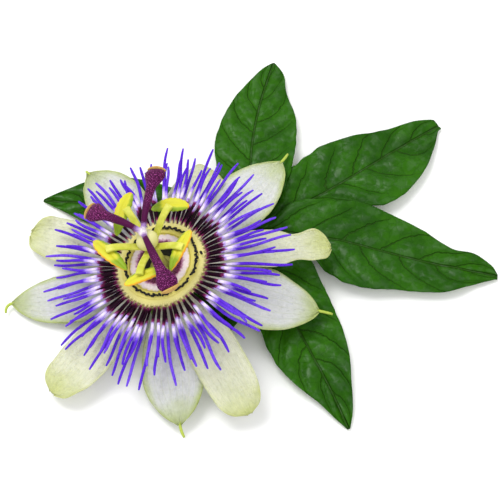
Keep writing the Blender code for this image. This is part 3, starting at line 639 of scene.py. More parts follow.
corona = {
    "ringInner": 8.5,
    "ringOuter": 11.1,
    "reach": 33.5,
    "highSideStretch": 0.035,
    # how far the filaments differ in length, wave, height of the tip, bend and lift
    "lengths": (0.9, 1.04),
    "waves": (0.1, 0.55),
    "tipSpread": 0.6,
    "bendSpread": 0.7,
    "lifts": (0, 0.5),
    "rootDepth": 0.8,
    "count": 60,
    "stations": 17,
    "sides": 8,
    "halfWidth": 0.4,
    "flatness": 0.75,
    "taper": (
        (0, 0.62), (0.08, 0.74), (0.26, 0.96), (0.4, 1.12), (0.7, 1.08), (0.9, 0.96), (0.98, 0.88), (1, 0.5),
    ),
    "rows": {
        # height of the ring from and to, height of the tips, share of the reach,
        # how far the roots and the tips stray in degrees, how far the roots rise, and the seed
        "lower": (-2.75, -1.5, -0.9, 1.0, 0.25, 1.2, 0.75, 11),
        "upper": (-1.15, 0.0, 1.6, 0.87, 0.35, 2.4, 0.0, 23),
    },
}


def filamentRings(draw, turn, low, high, tipHeight, reach, stray, rootRise):
    stretch = 1 + corona["highSideStretch"] * math.cos(math.radians(turn))
    length = reach * draw.uniform(*corona["lengths"]) * stretch
    phase, sway = draw.uniform(0, math.tau), draw.gauss(0, stray)
    wave, spread = draw.uniform(*corona["waves"]), corona["tipSpread"]
    top = tipHeight + draw.uniform(-spread, spread)
    bend, lift = draw.gauss(0, corona["bendSpread"]), draw.uniform(*corona["lifts"])
    root = corona["ringOuter"] - corona["rootDepth"]
    middleHeight = (low + high) / 2
    last = corona["stations"] - 1
    rings = []
    for k in range(corona["stations"] + 1):
        share = min(k / last * 0.985, 0.985) if k < last else (0.994, 1.0)[k - last]
        out = root + (length - root) * share
        aside = wave * math.sin(phase + 1.3 * math.tau * share) * share + bend * share**2.5
        height = middleHeight + (top - middleHeight) * share + lift * math.sin(math.pi * share)
        height += rootRise * ease(0.02, 0.12, share) * (1 - share)
        here = turn + sway * share
        side = polar(here + 90, 1)
        half = corona["halfWidth"] * curveThrough(corona["taper"], share) * mm
        middle = polar(here, out * mm, height * mm) + side * aside * mm
        rings.append((middle, side, up, half, half * corona["flatness"]))
    return rings


def addFilaments(rowName, low, high, tipHeight, reachShare, rootStray, tipStray, rootRise, seed):
    draw = random.Random(seed)
    count = corona["count"]
    bm = bmesh.new()
    tubes = []
    for i in range(count):
        turn = 360 * i / count + draw.gauss(0, rootStray)
        reach = corona["reach"] * reachShare
        tubes.append(filamentRings(draw, turn, low, high, tipHeight, reach, tipStray, rootRise))
    growTubes(bm, tubes, corona["sides"])
    tag = bm.faces.layers.int["tube"]
    tone = bm.verts.layers.float.new("tone")
    tones = [draw.random() for i in range(count)]
    for face in bm.faces:
        for vert in face.verts:
            vert[tone] = tones[face[tag]]
    addRing(bm, low, high, count)
    slotName, node = f"{rowName}_filament", f"corona_{rowName}"
    addPiece(f"{rowName}Filaments", bm, [filamentFinish], node, bloom, outwards=True)


def addRing(bm, low, high, count):
    # the ring that the filaments spring from, rounded on top and fluted at its rim
    inner, outer = corona["ringInner"], corona["ringOuter"]
    profile = (
        (inner, low),
        (outer, low),
        (outer + 0.75, (low + high) / 2 - 0.1),
        (outer + 0.7, (low + high) / 2 + 0.15),
        (outer + 0.1, high),
        (outer - 0.6, high + 0.3),
        (inner + 0.6, high + 0.4),
        (inner, high + 0.1),
    )
    spinProfile(bm, profile, 4 * count, closed=True)
    for vert in bm.verts:
        reach = math.hypot(vert.co.x, vert.co.y) / mm
        if outer - 0.5 < reach < outer + 0.05 and high - 0.1 < vert.co.z / mm < high + 0.2:
            vert.co.z += 0.05 * mm * math.cos(count * math.atan2(vert.co.y, vert.co.x))


def makeFilamentFinish():
    # bands by reach: cream root, near-black, magenta, white with lilac, then blue-violet to the tip
    finish = newFinish("filamentFinish", 0.55, specular=0.07)
    reach, height, place = bloomCoordinates(finish)
    tone = sums("SUBTRACT", attribute(finish, "tone"), 0.5)
    speckle = noiseOf(place, 1.6, 4, 0.65)
    freedom = timesPlus(rise(reach, 12.5, 17.0), 1.9, 0.5)
    stray = sums("ADD", tone, sums("SUBTRACT", speckle, 0.5))
    shifted = timesPlus(stray, freedom, reach)
    bands = [
        (0.0, "ringOlive"),
        (9.0, "ringCream"),
        (11.9, "ringPale"),
        (12.6, "magenta"),
        (13.4, "nearBlack"),
        (16.3, "nearBlack"),
        (17.2, "magenta"),
        (17.8, "bandLilac"),
        (18.4, "bandWhite"),
        (19.1, "bandWhite"),
        (20.2, "bandLilac"),
        (21.6, "blueViolet"),
        (40.0, "blueViolet"),
    ]
    colour = ramp(shifted, 40.0, bands)
    darkZone = times(rise(reach, 12.4, 13.2), rise(reach, 17.6, 16.6))
    side = times(rise(attribute(finish, "edge"), 0.72, 1.0), darkZone)
    colour = tint(colour, "magenta", side, 0.3)
    outside = rise(reach, 21, 25)
    light = times(rise(tone, 0.0, 0.5), outside)
    colour = tint(colour, "lightViolet", light, 0.6)
    dark = times(rise(speckle, 0.48, 0.68), outside)
    colour = tint(colour, "deepViolet", dark, 0.7)
    # partly the filaments' own paler undersides, partly painted light: their inner part is turned white
    # beneath to brighten the shaded gaps between them
    pale = times(attribute(finish, "under"), rise(reach, 20, 17))
    colour = blend(pale, colour, "bandWhite")
    normal = bumps(noiseOf(place, 3.5, 3), 0.12, 0.5)
    return setShader(finish, colour=colour, normal=normal)


filamentFinish = makeFilamentFinish()
for rowName, values in corona["rows"].items():
    addFilaments(rowName, *values)
print("long filaments made")


shortRow = {
    "heads": 84,
    "missing": 0.08,
    "headReach": 9.6,
    "zigzag": 0.1,
    "headHeight": 1.15,
    "halfLength": 0.52,
    "halfWidth": 0.3,
    "threadHalf": 0.13,
    "slant": 14,
    "slantSpread": 24,
    "loneHead": (6, 10.9, 20),
    "aside": 0.55,
    "ring": (
        (8.3, 0.2), (10.45, 0.2), (10.5, 0.36), (10.2, 0.52), (9.7, 0.66), (9.1, 0.72), (8.6, 0.66),
        (8.35, 0.5),
    ),
    "seed": 5,
}


def shortPlace(turn, reach, height):
    place = polar(turn, reach * mm, height * mm)
    place.x += shortRow["aside"] * mm
    return place


def headRings(draw, turn, reach, slant):
    # a small dark sausage lying on top of its thread
    along = polar(turn + 90 + slant, 1)
    side = up.cross(along)
    middle = shortPlace(turn, reach, shortRow["headHeight"])
    size = draw.uniform(0.85, 1.15)
    rings = []
    for share, fullness in ((-1, 0.35), (-0.8, 0.8), (-0.3, 1.0), (0.3, 1.05), (0.8, 0.85), (1, 0.35)):
        half = shortRow["halfWidth"] * fullness * size * mm
        place = middle + along * share * shortRow["halfLength"] * size * mm
        rings.append((place, side, up, half, half * 1.15))
    return rings


def threadRings(turn, reach):
    half = shortRow["threadHalf"] * mm
    rings = []
    for share in (0, 0.2, 0.4, 0.6, 0.8, 1):
        middle = shortPlace(turn, reach, 0.45 + (shortRow["headHeight"] - 0.5) * share)
        rings.append((middle, polar(turn + 90, 1), polar(turn, 1), half, half))
    return rings


def addShortRow():
    draw = random.Random(shortRow["seed"])
    bm = bmesh.new()
    tubes = []
    places = []
    for i in range(shortRow["heads"]):
        turn = 360 * (i + draw.uniform(-0.2, 0.2)) / shortRow["heads"]
        reach = shortRow["headReach"] + shortRow["zigzag"] * (-1) ** i + draw.uniform(-0.14, 0.14)
        slant = shortRow["slant"] * (-1) ** i + draw.gauss(0, shortRow["slantSpread"])
        if draw.random() > shortRow["missing"]:
            places.append((turn, reach, slant))
    places.append(shortRow["loneHead"])
    for turn, reach, slant in places:
        tubes.append(headRings(draw, turn, reach, slant))
        tubes.append(threadRings(turn, reach))
    growTubes(bm, tubes, 8)
    spinProfile(bm, shortRow["ring"], 120, closed=True)
    addPiece("shortFilaments", bm, [shortFinish], "corona_short", bloom, outwards=True)


def makeShortFinish():
    finish = newFinish("shortFinish", 0.5, specular=0.3)
    reach, height, place = bloomCoordinates(finish)
    speckle = noiseOf(place, 1.1, 3)
    skin = ramp(reach, 12.0, [(8.3, "ringOlive"), (10.2, "ringCream")])
    skin = tint(skin, "ringPale", speckle, 0.3)
    dark = rise(height, 0.82, 0.9)
    colour = blend(dark, skin, "headBlack")
    return setShader(finish, colour=colour, normal=bumps(speckle, 0.15, 0.4))


shortFinish = makeShortFinish()
addShortRow()
print("short filaments made")


# Membrane over the nectar chamber, pleated, with its purple fringe

membrane = {
    "pleats": 44,
    "profile": (
        (8.25, -2.8), (8.3, 0.1), (8.25, 0.42), (7.9, 0.56), (7.2, 0.64), (6.5, 0.62), (5.9, 0.52),
        (5.6, 0.38), (5.55, 0.15), (6.2, -0.1), (7.45, -0.8), (7.45, -2.8),
    ),
    "pleatDepth": 0.04,
    "fringe": 72,
    "fringeRoot": 5.8,
    "fringeEnds": (4.3, 4.7),
}


def addMembrane():
    draw = random.Random(8)
    bm = bmesh.new()
    spinProfile(bm, membrane["profile"], membrane["pleats"] * 6, closed=True)
    for vert in bm.verts:
        if vert.co.z > -0.6 * mm:
            pleat = math.cos(membrane["pleats"] * math.atan2(vert.co.y, vert.co.x))
            vert.co.z += membrane["pleatDepth"] * mm * pleat
    tubes = []
    for i in range(membrane["fringe"]):
        turn = 360 * (i + draw.uniform(-0.25, 0.25)) / membrane["fringe"]
        root, end = membrane["fringeRoot"], draw.uniform(*membrane["fringeEnds"])
        side = polar(turn + 90, 1)
        rings = []
        for share, half in ((0, 0.2), (0.35, 0.19), (0.7, 0.17), (0.95, 0.13), (1, 0.05)):
            middle = polar(turn, (root + (end - root) * share) * mm, (0.35 + 0.45 * share**2) * mm)
            rings.append((middle, side, up, half * mm, half * mm))
        tubes.append(rings)
    growTubes(bm, tubes, 6)
    addPiece("membrane", bm, [membraneFinish], "operculum", bloom, outwards=True)


def makeMembraneFinish():
    finish = newFinish("membraneFinish", 0.4, soft=0.2)
    reach, height, place = bloomCoordinates(finish)
    speckle = noiseOf(place, 1.4, 4)
    inside = timesPlus(sums("SUBTRACT", speckle, 0.5), 1.6, reach)
    bands = [
        (0.0, "fringePurple"),
        (5.9, "fringePurple"),
        (6.3, "fringePink"),
        (6.8, "membraneLilac"),
        (7.7, "membraneLilac"),
        (8.25, "ringOlive"),
    ]
    colour = ramp(inside, 9.0, bands)
    return setShader(finish, colour=colour, normal=bumps(speckle, 0.15, 0.4))


membraneFinish = makeMembraneFinish()
addMembrane()
print("membrane made")


# Column with its foot disc and the five stamen stalks, melted in one skin

column = {
    "top": 10.4,
    "profile": (
        (0, -4.7), (2.6, -4.7), (2.2, -3.2), (3.4, -2.7), (3.5, -2.35), (3.2, -2.05), (2.1, -1.7),
        (1.75, 2.0), (1.65, 6.6), (1.9, 9.5), (2.0, 10.1), (1.8, 10.4), (0, 10.4),
    ),
    "reach": 10.1,
    "stalkEnd": 14.8,
    "stalkStart": 0.8,
    "stalkOverhang": 0.3,
    "halfWidth": 0.98,
    "halfHeight": 0.44,
    "voxel": 0.15,
}
anthers = {
    # turn of the stalk, reach, yaw, half length, slide along itself, roll, and which end is orange
    "pods": (
        (122, 11.9, 44, 6.4, 1.5, -8, -1),
        (55.5, 11.2, 34, 5.0, 0.9, 0, -1),
        (-21, 8.9, -2, 6.0, 0.0, -18, 1),
        (-96, 10.0, 24, 5.9, 1.0, -18, -1),
        (-166.5, 10.2, 31, 6.5, 0.6, -18, -1),
    ),
    "height": 13.0,
    "halfWidth": 1.8,
    "halfHeight": 0.9,
    "bow": 0.35,
    "droop": 0.9,
    "serration": 0.05,
    "teeth": 26,
}


def stalkRings(turn):
    # a flat strap that ends square, with a small hollow in its end
    first, full = column["stalkStart"], column["reach"] + column["stalkOverhang"]
    side = polar(turn + 90, 1)
    rings = []
    for share in [k / 14 for k in range(15)]:
        reach = first + (full - first) * share
        height = column["top"] - 0.5 + (column["stalkEnd"] - column["top"] + 0.1) * ease(-0.1, 0.92, share)
        half = column["halfWidth"] * curveThrough(((0, 0.9), (0.3, 1.0), (0.8, 1.0), (1.0, 1.1)), share) * mm
        deep = column["halfHeight"] * (0.95 + 0.2 * share) * mm
        rings.append((polar(turn, reach * mm, height * mm), side, up, half, deep))
    middle, side, over, halfWidth, halfHeight = rings[-1]
    for along, size in ((0.12, 0.9), (0.05, 0.62), (-0.5, 0.5)):
        rings.append((middle + polar(turn, along * mm), side, over, halfWidth * size, halfHeight * size))
    return rings


def addColumn():
    bm = bmesh.new()
    spinProfile(bm, column["profile"], 48)
    growTubes(bm, [stalkRings(pod[0]) for pod in anthers["pods"]], 20, squareness=0.55)
    piece = addPiece("column", bm, [stamenFinish], "androgynophore", core, outwards=True)
    meltTogether(piece, column["voxel"] * mm, 2)


def makeStamenFinish():
    finish = newFinish("stamenFinish", 0.45, specular=0.35, soft=0.1)
    reach, height, place = bloomCoordinates(finish)
    cloud = noiseOf(place, 0.5, 3)
    grain = noiseOf(place, 4.0, 3)
    colour = blend(rise(cloud, 0.35, 0.7), "stamenGreen", "stamenPale")
    low = rise(height, 6.0, 1.0)
    colour = tint(colour, "khaki", low, 0.8)
    spots = times(rise(noiseOf(place, 2.2, 2), 0.6, 0.7), low)
    colour = blend(spots, colour, "stylePurple")
    return setShader(finish, colour=colour, normal=bumps(grain, 0.08, 0.4))


stamenFinish = makeStamenFinish()
addColumn()
print("column and stalks made")


def addAnther(index, row):
    turn, reach, yaw, halfLength, slide, roll, orangeEnd = row
    bm = roundBall(40, 44)
    rim = bm.verts.layers.float.new("rim")
    green = bm.verts.layers.float.new("green")
    for vert in bm.verts:
        x, y, z = vert.co.z, vert.co.y, vert.co.x
        around = max(1 - x * x, 0) ** 0.5
        across = y / max(around, 0.05)
        vert[rim] = max(ease(0.72, 1.0, -across), ease(0.82, 1.0, x * orangeEnd))
        vert[green] = max(ease(0.0, 0.8, -x * orangeEnd), ease(0.1, 0.8, across) * 0.75)
        crease = 0.34 * math.exp(-((across / 0.22) ** 2)) * around
        body = z * (0.75 + 0.25 * across * across)
        body += -crease if z > 0 else crease
        blunt = 1 + 0.16 * x * orangeEnd
        width = anthers["halfWidth"] * (1.08 - 0.1 * x * x) * blunt
        serration = anthers["serration"] * math.sin(anthers["teeth"] * x) * abs(across) * around
        aside = width * (y + serration) - anthers["bow"] * (1 - x * x)
        height = anthers["halfHeight"] * body - anthers["droop"] * x * x
        vert.co = Vector((halfLength * x, aside, height)) * mm
    middle = polar(turn, reach * mm, anthers["height"] * mm) + polar(turn + 90 + yaw, slide * mm)
    yawed = Matrix.Rotation(math.radians(turn + 90 + yaw), 4, "Z")
    rolled = Matrix.Rotation(math.radians(roll), 4, "X")
    place = core @ Matrix.Translation(middle) @ (yawed @ rolled)
    addPiece(f"anther{index + 1}", bm, [antherFinish], f"anther_{index + 1}", place)


def makeAntherFinish():
    finish = newFinish("antherFinish", 0.5, specular=0.3, soft=0.08)
    place = objectPlace(finish)
    cloud = noiseOf(place, 0.7, 3)
    grain = noiseOf(place, 5.0, 2)
    stray = timesPlus(cloud, 0.5, -0.25)
    greenShare = rise(sums("ADD", attribute(finish, "green"), stray), 0.25, 0.8)
    colour = blend(greenShare, "antherYellow", "antherGreen")
    rimShare = times(rise(sums("ADD", attribute(finish, "rim"), stray), 0.5, 0.95), 0.8)
    colour = blend(rimShare, colour, "antherOrange")
    return setShader(finish, colour=colour, normal=bumps(grain, 0.12, 0.5))


antherFinish = makeAntherFinish()
for index, row in enumerate(anthers["pods"]):
    addAnther(index, row)
print("anthers made")


# Ovary, three styles from one hub, and their stigmas

ovary = {"radius": 2.9, "base": 10.7, "height": 5.0, "firstGroove": 60, "grooveDepth": 0.09}


def addOvary():
    bm = roundBall(60, 36)
    for vert in bm.verts:
        x, y, z = vert.co
        turn = math.atan2(y, x) - math.radians(ovary["firstGroove"])
        groove = 1 - ovary["grooveDepth"] * math.exp(-((math.sin(1.5 * turn) / 0.3) ** 2))
        fuller = ovary["radius"] * (1 - 0.12 * z) * groove
        vert.co = Vector((x * fuller, y * fuller, ovary["base"] + ovary["height"] * (z + 1) / 2)) * mm
    addPiece("ovaryEgg", bm, [ovaryFinish], "ovary", core)


def makeOvaryFinish():
    finish = newFinish("ovaryFinish", 0.42, specular=0.35, soft=0.15)
    reach, height, place = bloomCoordinates(finish)
    grain = noiseOf(place, 3.0, 3)
    # painted light: paler towards the top, where the ovary faces the lamps
    colour = blend(rise(height, 12.5, 15.6), "ovaryCream", "ovaryTopPaintedLight")
    colour = tint(colour, "ovaryGrain", grain, 0.35)
    return setShader(finish, colour=colour, normal=bumps(grain, 0.06, 0.4))


ovaryFinish = makeOvaryFinish()
addOvary()

styles = {
    # turn, reach and height of each head
    "arms": ((82, 15.7, 16.7), (150.5, 14.1, 16.4), (295, 14.4, 16.2)),
    "hubHeight": 16.85,
    "hubRadius": 1.1,
    # half width and half height along an arm: thin, then a flat flared head
    "widths": (
        (0, 0.65), (0.3, 0.8), (0.5, 1.05), (0.68, 1.2), (0.76, 1.45), (0.86, 2.35), (0.94, 2.7), (1, 2.1),
    ),
    "depths": ((0, 0.65), (0.5, 0.85), (0.7, 0.95), (0.86, 1.2), (0.94, 1.2), (1.0, 0.8)),
    "padHalves": (2.5, 1.15, 0.5),
    "padBow": 0.35,
    "voxel": 0.13,
}


def stylePath(turn, reach, height, count):
    start = polar(turn, -0.5 * mm, (styles["hubHeight"] - 0.1) * mm)
    rising = polar(turn, 0.3 * reach * mm, (styles["hubHeight"] + 1.25) * mm)
    far = polar(turn, 0.72 * reach * mm, (height + 1.2) * mm)
    end = polar(turn, (reach + 2.6) * mm, (height - 0.6) * mm)
    return smoothPath((start, rising, far, end), count)


def addStyles():
    bm = bmesh.new()
    tubes = []
    for turn, reach, height in styles["arms"]:
        path = stylePath(turn, reach, height, 32)
        last = len(path) - 1
        side = polar(turn + 90, 1)
        rings = []
        for i, middle in enumerate(path):
            wide = curveThrough(styles["widths"], i / last) * mm
            deep = curveThrough(styles["depths"], i / last) * mm
            rings.append((middle, side, headingAt(path, i).cross(side), wide, deep))
        tubes.append(rings)
    growTubes(bm, tubes, 24, squareness=0.85)
    hub = bmesh.ops.create_uvsphere(bm, u_segments=24, v_segments=16, radius=styles["hubRadius"] * mm)
    for vert in hub["verts"]:
        knobbly = 1 + 0.25 * noise.noise(vert.co / mm * 1.1)
        vert.co.z *= 0.75
        vert.co = vert.co * knobbly + up * styles["hubHeight"] * mm
    piece = addPiece("styleArms", bm, [styleFinish], "styles", core, outwards=True)
    meltTogether(piece, styles["voxel"] * mm, 3)


def makeStyleFinish():
    finish = newFinish("styleFinish", 0.5, specular=0.08)
    reach, height, place = bloomCoordinates(finish)
    hub = core @ Vector((0, 0, styles["hubHeight"] * mm))
    away = addNode(finish, "TexCoord").outputs["Object"]
    coreReach = addNode(finish, "VectorMath", {0: away, 1: hub}, operation="DISTANCE").outputs["Value"]
    coreReach = sums("DIVIDE", coreReach, mm)
    mottle = noiseOf(place, 2.2, 4, 0.65)
    speckle = noiseOf(place, 4.0, 2, 0.5)
    shifted = timesPlus(sums("SUBTRACT", mottle, 0.5), 1.8, coreReach)
    bands = [
        (0.0, "styleWhite"),
        (0.8, "styleWhite"),
        (1.8, "styleLilac"),
        (2.9, "stylePurple"),
        (20.0, "stylePurple"),
    ]
    colour = ramp(shifted, 20.0, bands)
    outer = rise(reach, 5.0, 12.0)
    dark = times(rise(mottle, 0.46, 0.66), rise(reach, 4.0, 9.0))
    colour = tint(colour, "styleDark", dark, 0.8)
    light = times(rise(speckle, 0.54, 0.64), outer)
    colour = tint(colour, "stylePink", light, 0.85)
    return setShader(finish, colour=colour, normal=bumps(speckle, 0.14, 0.6))


styleFinish = makeStyleFinish()
addStyles()


def addStigma(index, row):
    path = stylePath(*row, 13)
    outward = (path[-1] - path[-2]).normalized()
    wide, high, deep = styles["padHalves"]
    bm = roundBall(32, 18)
    for vert in bm.verts:
        x, y, z = vert.co
        crumb = 1 + 0.06 * noise.noise(vert.co * 5)
        vert.co = Vector((x * wide, y * high, z * deep - styles["padBow"] * x * x)) * crumb * mm
    turned = outward.to_track_quat("Z", "Y").to_matrix().to_4x4()
    place = Matrix.Translation(path[-1] + outward * 0.5 * mm) @ turned
    addPiece(f"stigma{index + 1}", bm, [stigmaFinish], f"stigma_{index + 1}", core @ place)


def makeStigmaFinish():
    finish = newFinish("stigmaFinish", 0.75, specular=0.2, soft=0.05)
    place = objectPlace(finish)
    crumbs = noiseOf(place, 4.5, 3, 0.6)
    colour = blend(rise(crumbs, 0.35, 0.7), "stigmaBrown", "stigmaTan")
    return setShader(finish, colour=colour, normal=bumps(crumbs, 0.25, 0.8))


stigmaFinish = makeStigmaFinish()
for index, row in enumerate(styles["arms"]):
    addStigma(index, row)
print("ovary, styles and stigmas made")


# Cup, bracts, flower stalk and vine

cup = {
    "profile": (
        (0, -5.2), (3.4, -5.2), (6.6, -4.4), (7.2, -3.1), (7.8, -3.0), (8.3, -3.1), (8.4, -5.6),
        (7.9, -6.6), (7.0, -7.4), (5.5, -8.1), (3.8, -8.5), (1.8, -8.9), (0, -8.9),
    ),
    "ribs": 10,
    "ribDepth": 0.02,
    "hollowHeight": -5.3,
    "hollowReach": 7.5,
}


def addCup():
    bm = bmesh.new()
    spinProfile(bm, cup["profile"], 80)
    # the hollow inside the cup is marked to be painted dark, as painted shade
    hollow = bm.verts.layers.float.new("hollow")
    for vert in bm.verts:
        reach = math.hypot(vert.co.x, vert.co.y)
        inside = vert.co.z > cup["hollowHeight"] * mm
        vert[hollow] = inside and reach < cup["hollowReach"] * mm
        if vert.co.z < cup["hollowHeight"] * mm and reach > 2.5 * mm:
            rib = math.cos(cup["ribs"] * math.atan2(vert.co.y, vert.co.x))
            rib = 1 - cup["ribDepth"] + cup["ribDepth"] * rib
            vert.co.x *= rib
            vert.co.y *= rib
    addPiece("cup", bm, [stemFinish], "hypanthium", bloom, outwards=True)


def makeStemFinish(name, colour, light):
    finish = newFinish(name, 0.42, soft=0.08)
    place = objectPlace(finish)
    cloud = noiseOf(place, 0.25, 4)
    grain = noiseOf(place, 3.0, 4)
    made = blend(rise(cloud, 0.3, 0.7), colour, light)
    # painted shade: the hollow inside the cup, under the membrane, is painted dark
    made = blend(attribute(finish, "hollow"), made, "hollowPaintedShade")
    cut = rise(attribute(finish, "cut"), 0.4, 0.6)
    made = blend(cut, made, "stemCut")
    return setShader(finish, colour=made, normal=bumps(grain, 0.1, 0.5))


stemFinish = makeStemFinish("stemFinish", "cupGreen", "stemGreen")
addCup()

bracts = {
    "turns": (20, 140, 260),
    "height": -9.9,
    "length": 14.5,
    "half": 4.6,
    "outline": ((0, 0.25), (0.25, 0.8), (0.5, 1), (0.8, 0.6), (0.95, 0.2), (1, 0.05)),
    "thickness": 0.5,
    "rim": 0.22,
}


def addBract(index, turn):
    bm = bladeGrid(20, 40)
    weighEdges(bm, 0.3)
    for vert in bm.verts:
        across, share = vert.co.x, (vert.co.y + 1) / 2
        height = bracts["height"] + 0.9 * share**2
        out = 1.5 * (1 - share) ** 2 + 16 * share * (1 - share) + bracts["length"] * share**2
        width = bracts["half"] * curveThrough(bracts["outline"], share)
        ripple = 0.12 * math.cos(5 * math.tau * (share - 0.2 * abs(across)))
        fold = -0.5 * across**2 * ease(0.1, 0.5, share) + ripple
        raised = up * (height + fold * ease(0, 0.2, share))
        vert.co = (polar(turn, out) + polar(turn - 90, width * across) + raised) * mm
    piece = addPiece(f"bract{index + 1}", bm, [bractFinish], f"bract_{index + 1}", bloom)
    giveThickness(piece, bracts)


def veinLines(finish, sideCount, lead, thickness):
    # 1 on the lines along a blade's middle and slanting up to its edges
    u, v = ownMap(finish, "blade")
    across = asideOf(u)
    phase = times(timesPlus(across, -lead, v), float(sideCount))
    off = fromWhole(phase)
    sideVein = rise(off, 0.5 - thickness, 0.5)
    midrib = rise(across, 0.07, 0.02)
    return sums("MAXIMUM", midrib, sideVein)


def makeBractFinish():
    finish = newFinish("bractFinish", 0.4, soft=0.1)
    vein = veinLines(finish, 7, 0.3, 0.05)
    cloud = noiseOf(objectPlace(finish), 0.35, 4)
    colour = blend(cloud, "bractGreen", "bractLight")
    colour = tint(colour, "bractVein", vein, 0.5)
    return setShader(finish, colour=colour, normal=bumps(vein, 0.15, 0.6))


bractFinish = makeBractFinish()
for index, turn in enumerate(bracts["turns"]):
    addBract(index, turn)
print("cup and bracts made")

stalks = {
    "vinePoints": ((-21, -19.5, 1.5), (-12, -12.5, 1.5), (0, 0, 1.5), (9, 10.5, 1.5), (16.8, 18.6, 1.5)),
    "vineRadius": 1.45,
    "nodeRadius": 2.0,
    "ridges": 5,
    "nodeSpread": 1.6,
    "stalkPoints": (
        (10.4, 7.8, 1.7), (12.4, 3.8, 1.15), (11.4, -2.2, 1.1), (7.4, -4.6, 1.5), (4.4, -2.6, 2.7),
    ),
    "stalkRadius": 0.95,
}


def markCut(bm, path, radius):
    # marks the two cut ends, which are pale
    cut = bm.verts.layers.float.get("cut") or bm.verts.layers.float.new("cut")
    for vert in bm.verts:
        if min((vert.co - path[0]).length, (vert.co - path[-1]).length) < radius:
            vert[cut] = 1


def addVine():
    points = [Vector(p) * mm for p in stalks["vinePoints"]]
    path = smoothPath(points, 110)
    radii = []
    for place in path:
        spread = stalks["nodeSpread"] * mm
        swell = max(math.exp(-(((place - node).length / spread) ** 2)) for node in points[1:4])
        radii.append((stalks["vineRadius"] + (stalks["nodeRadius"] - stalks["vineRadius"]) * swell) * mm)
    rings = ringsAlong(path, radii, radii)
    rings.insert(0, (*rings[0][:3], radii[0] * 0.8, radii[0] * 0.8))
    rings.append((*rings[-1][:3], radii[-1] * 0.8, radii[-1] * 0.8))
    bm = bmesh.new()
    growTubes(bm, [rings], 30)
    for vert in bm.verts:
        nearest = min(path, key=lambda place: (place - vert.co).length)
        out = vert.co - nearest
        facing = 1 if out.cross(up).dot(path[-1] - path[0]) > 0 else -1
        turn = math.atan2(out.z, Vector((out.x, out.y)).length * facing)
        vert.co += out * 0.05 * math.cos(stalks["ridges"] * turn)
        vert.co.z = max(vert.co.z, 0.0)
    markCut(bm, path, stalks["vineRadius"] * 0.85 * mm)
    addPiece("vine", bm, [stemFinish], "vine_stem", outwards=True)


def addStalk():
    top = bloom @ Vector((0, 0, -9.2 * mm))
    below = bloom @ Vector((0, 0, -11.4 * mm))
    points = [Vector(p) * mm for p in stalks["stalkPoints"]] + [below, top]
    path = smoothPath(points, 70)
    radii = [stalks["stalkRadius"] * mm] * len(path)
    bm = bmesh.new()
    growTubes(bm, [ringsAlong(path, radii, radii, Vector((0.3, 0.9, 0.3)))], 20)
    addPiece("flowerStalk", bm, [stemFinish], "peduncle", outwards=True)


addVine()
addStalk()
print("vine and stalk made")


# Leaves: waved, quilted lobes round a hub, with their veins

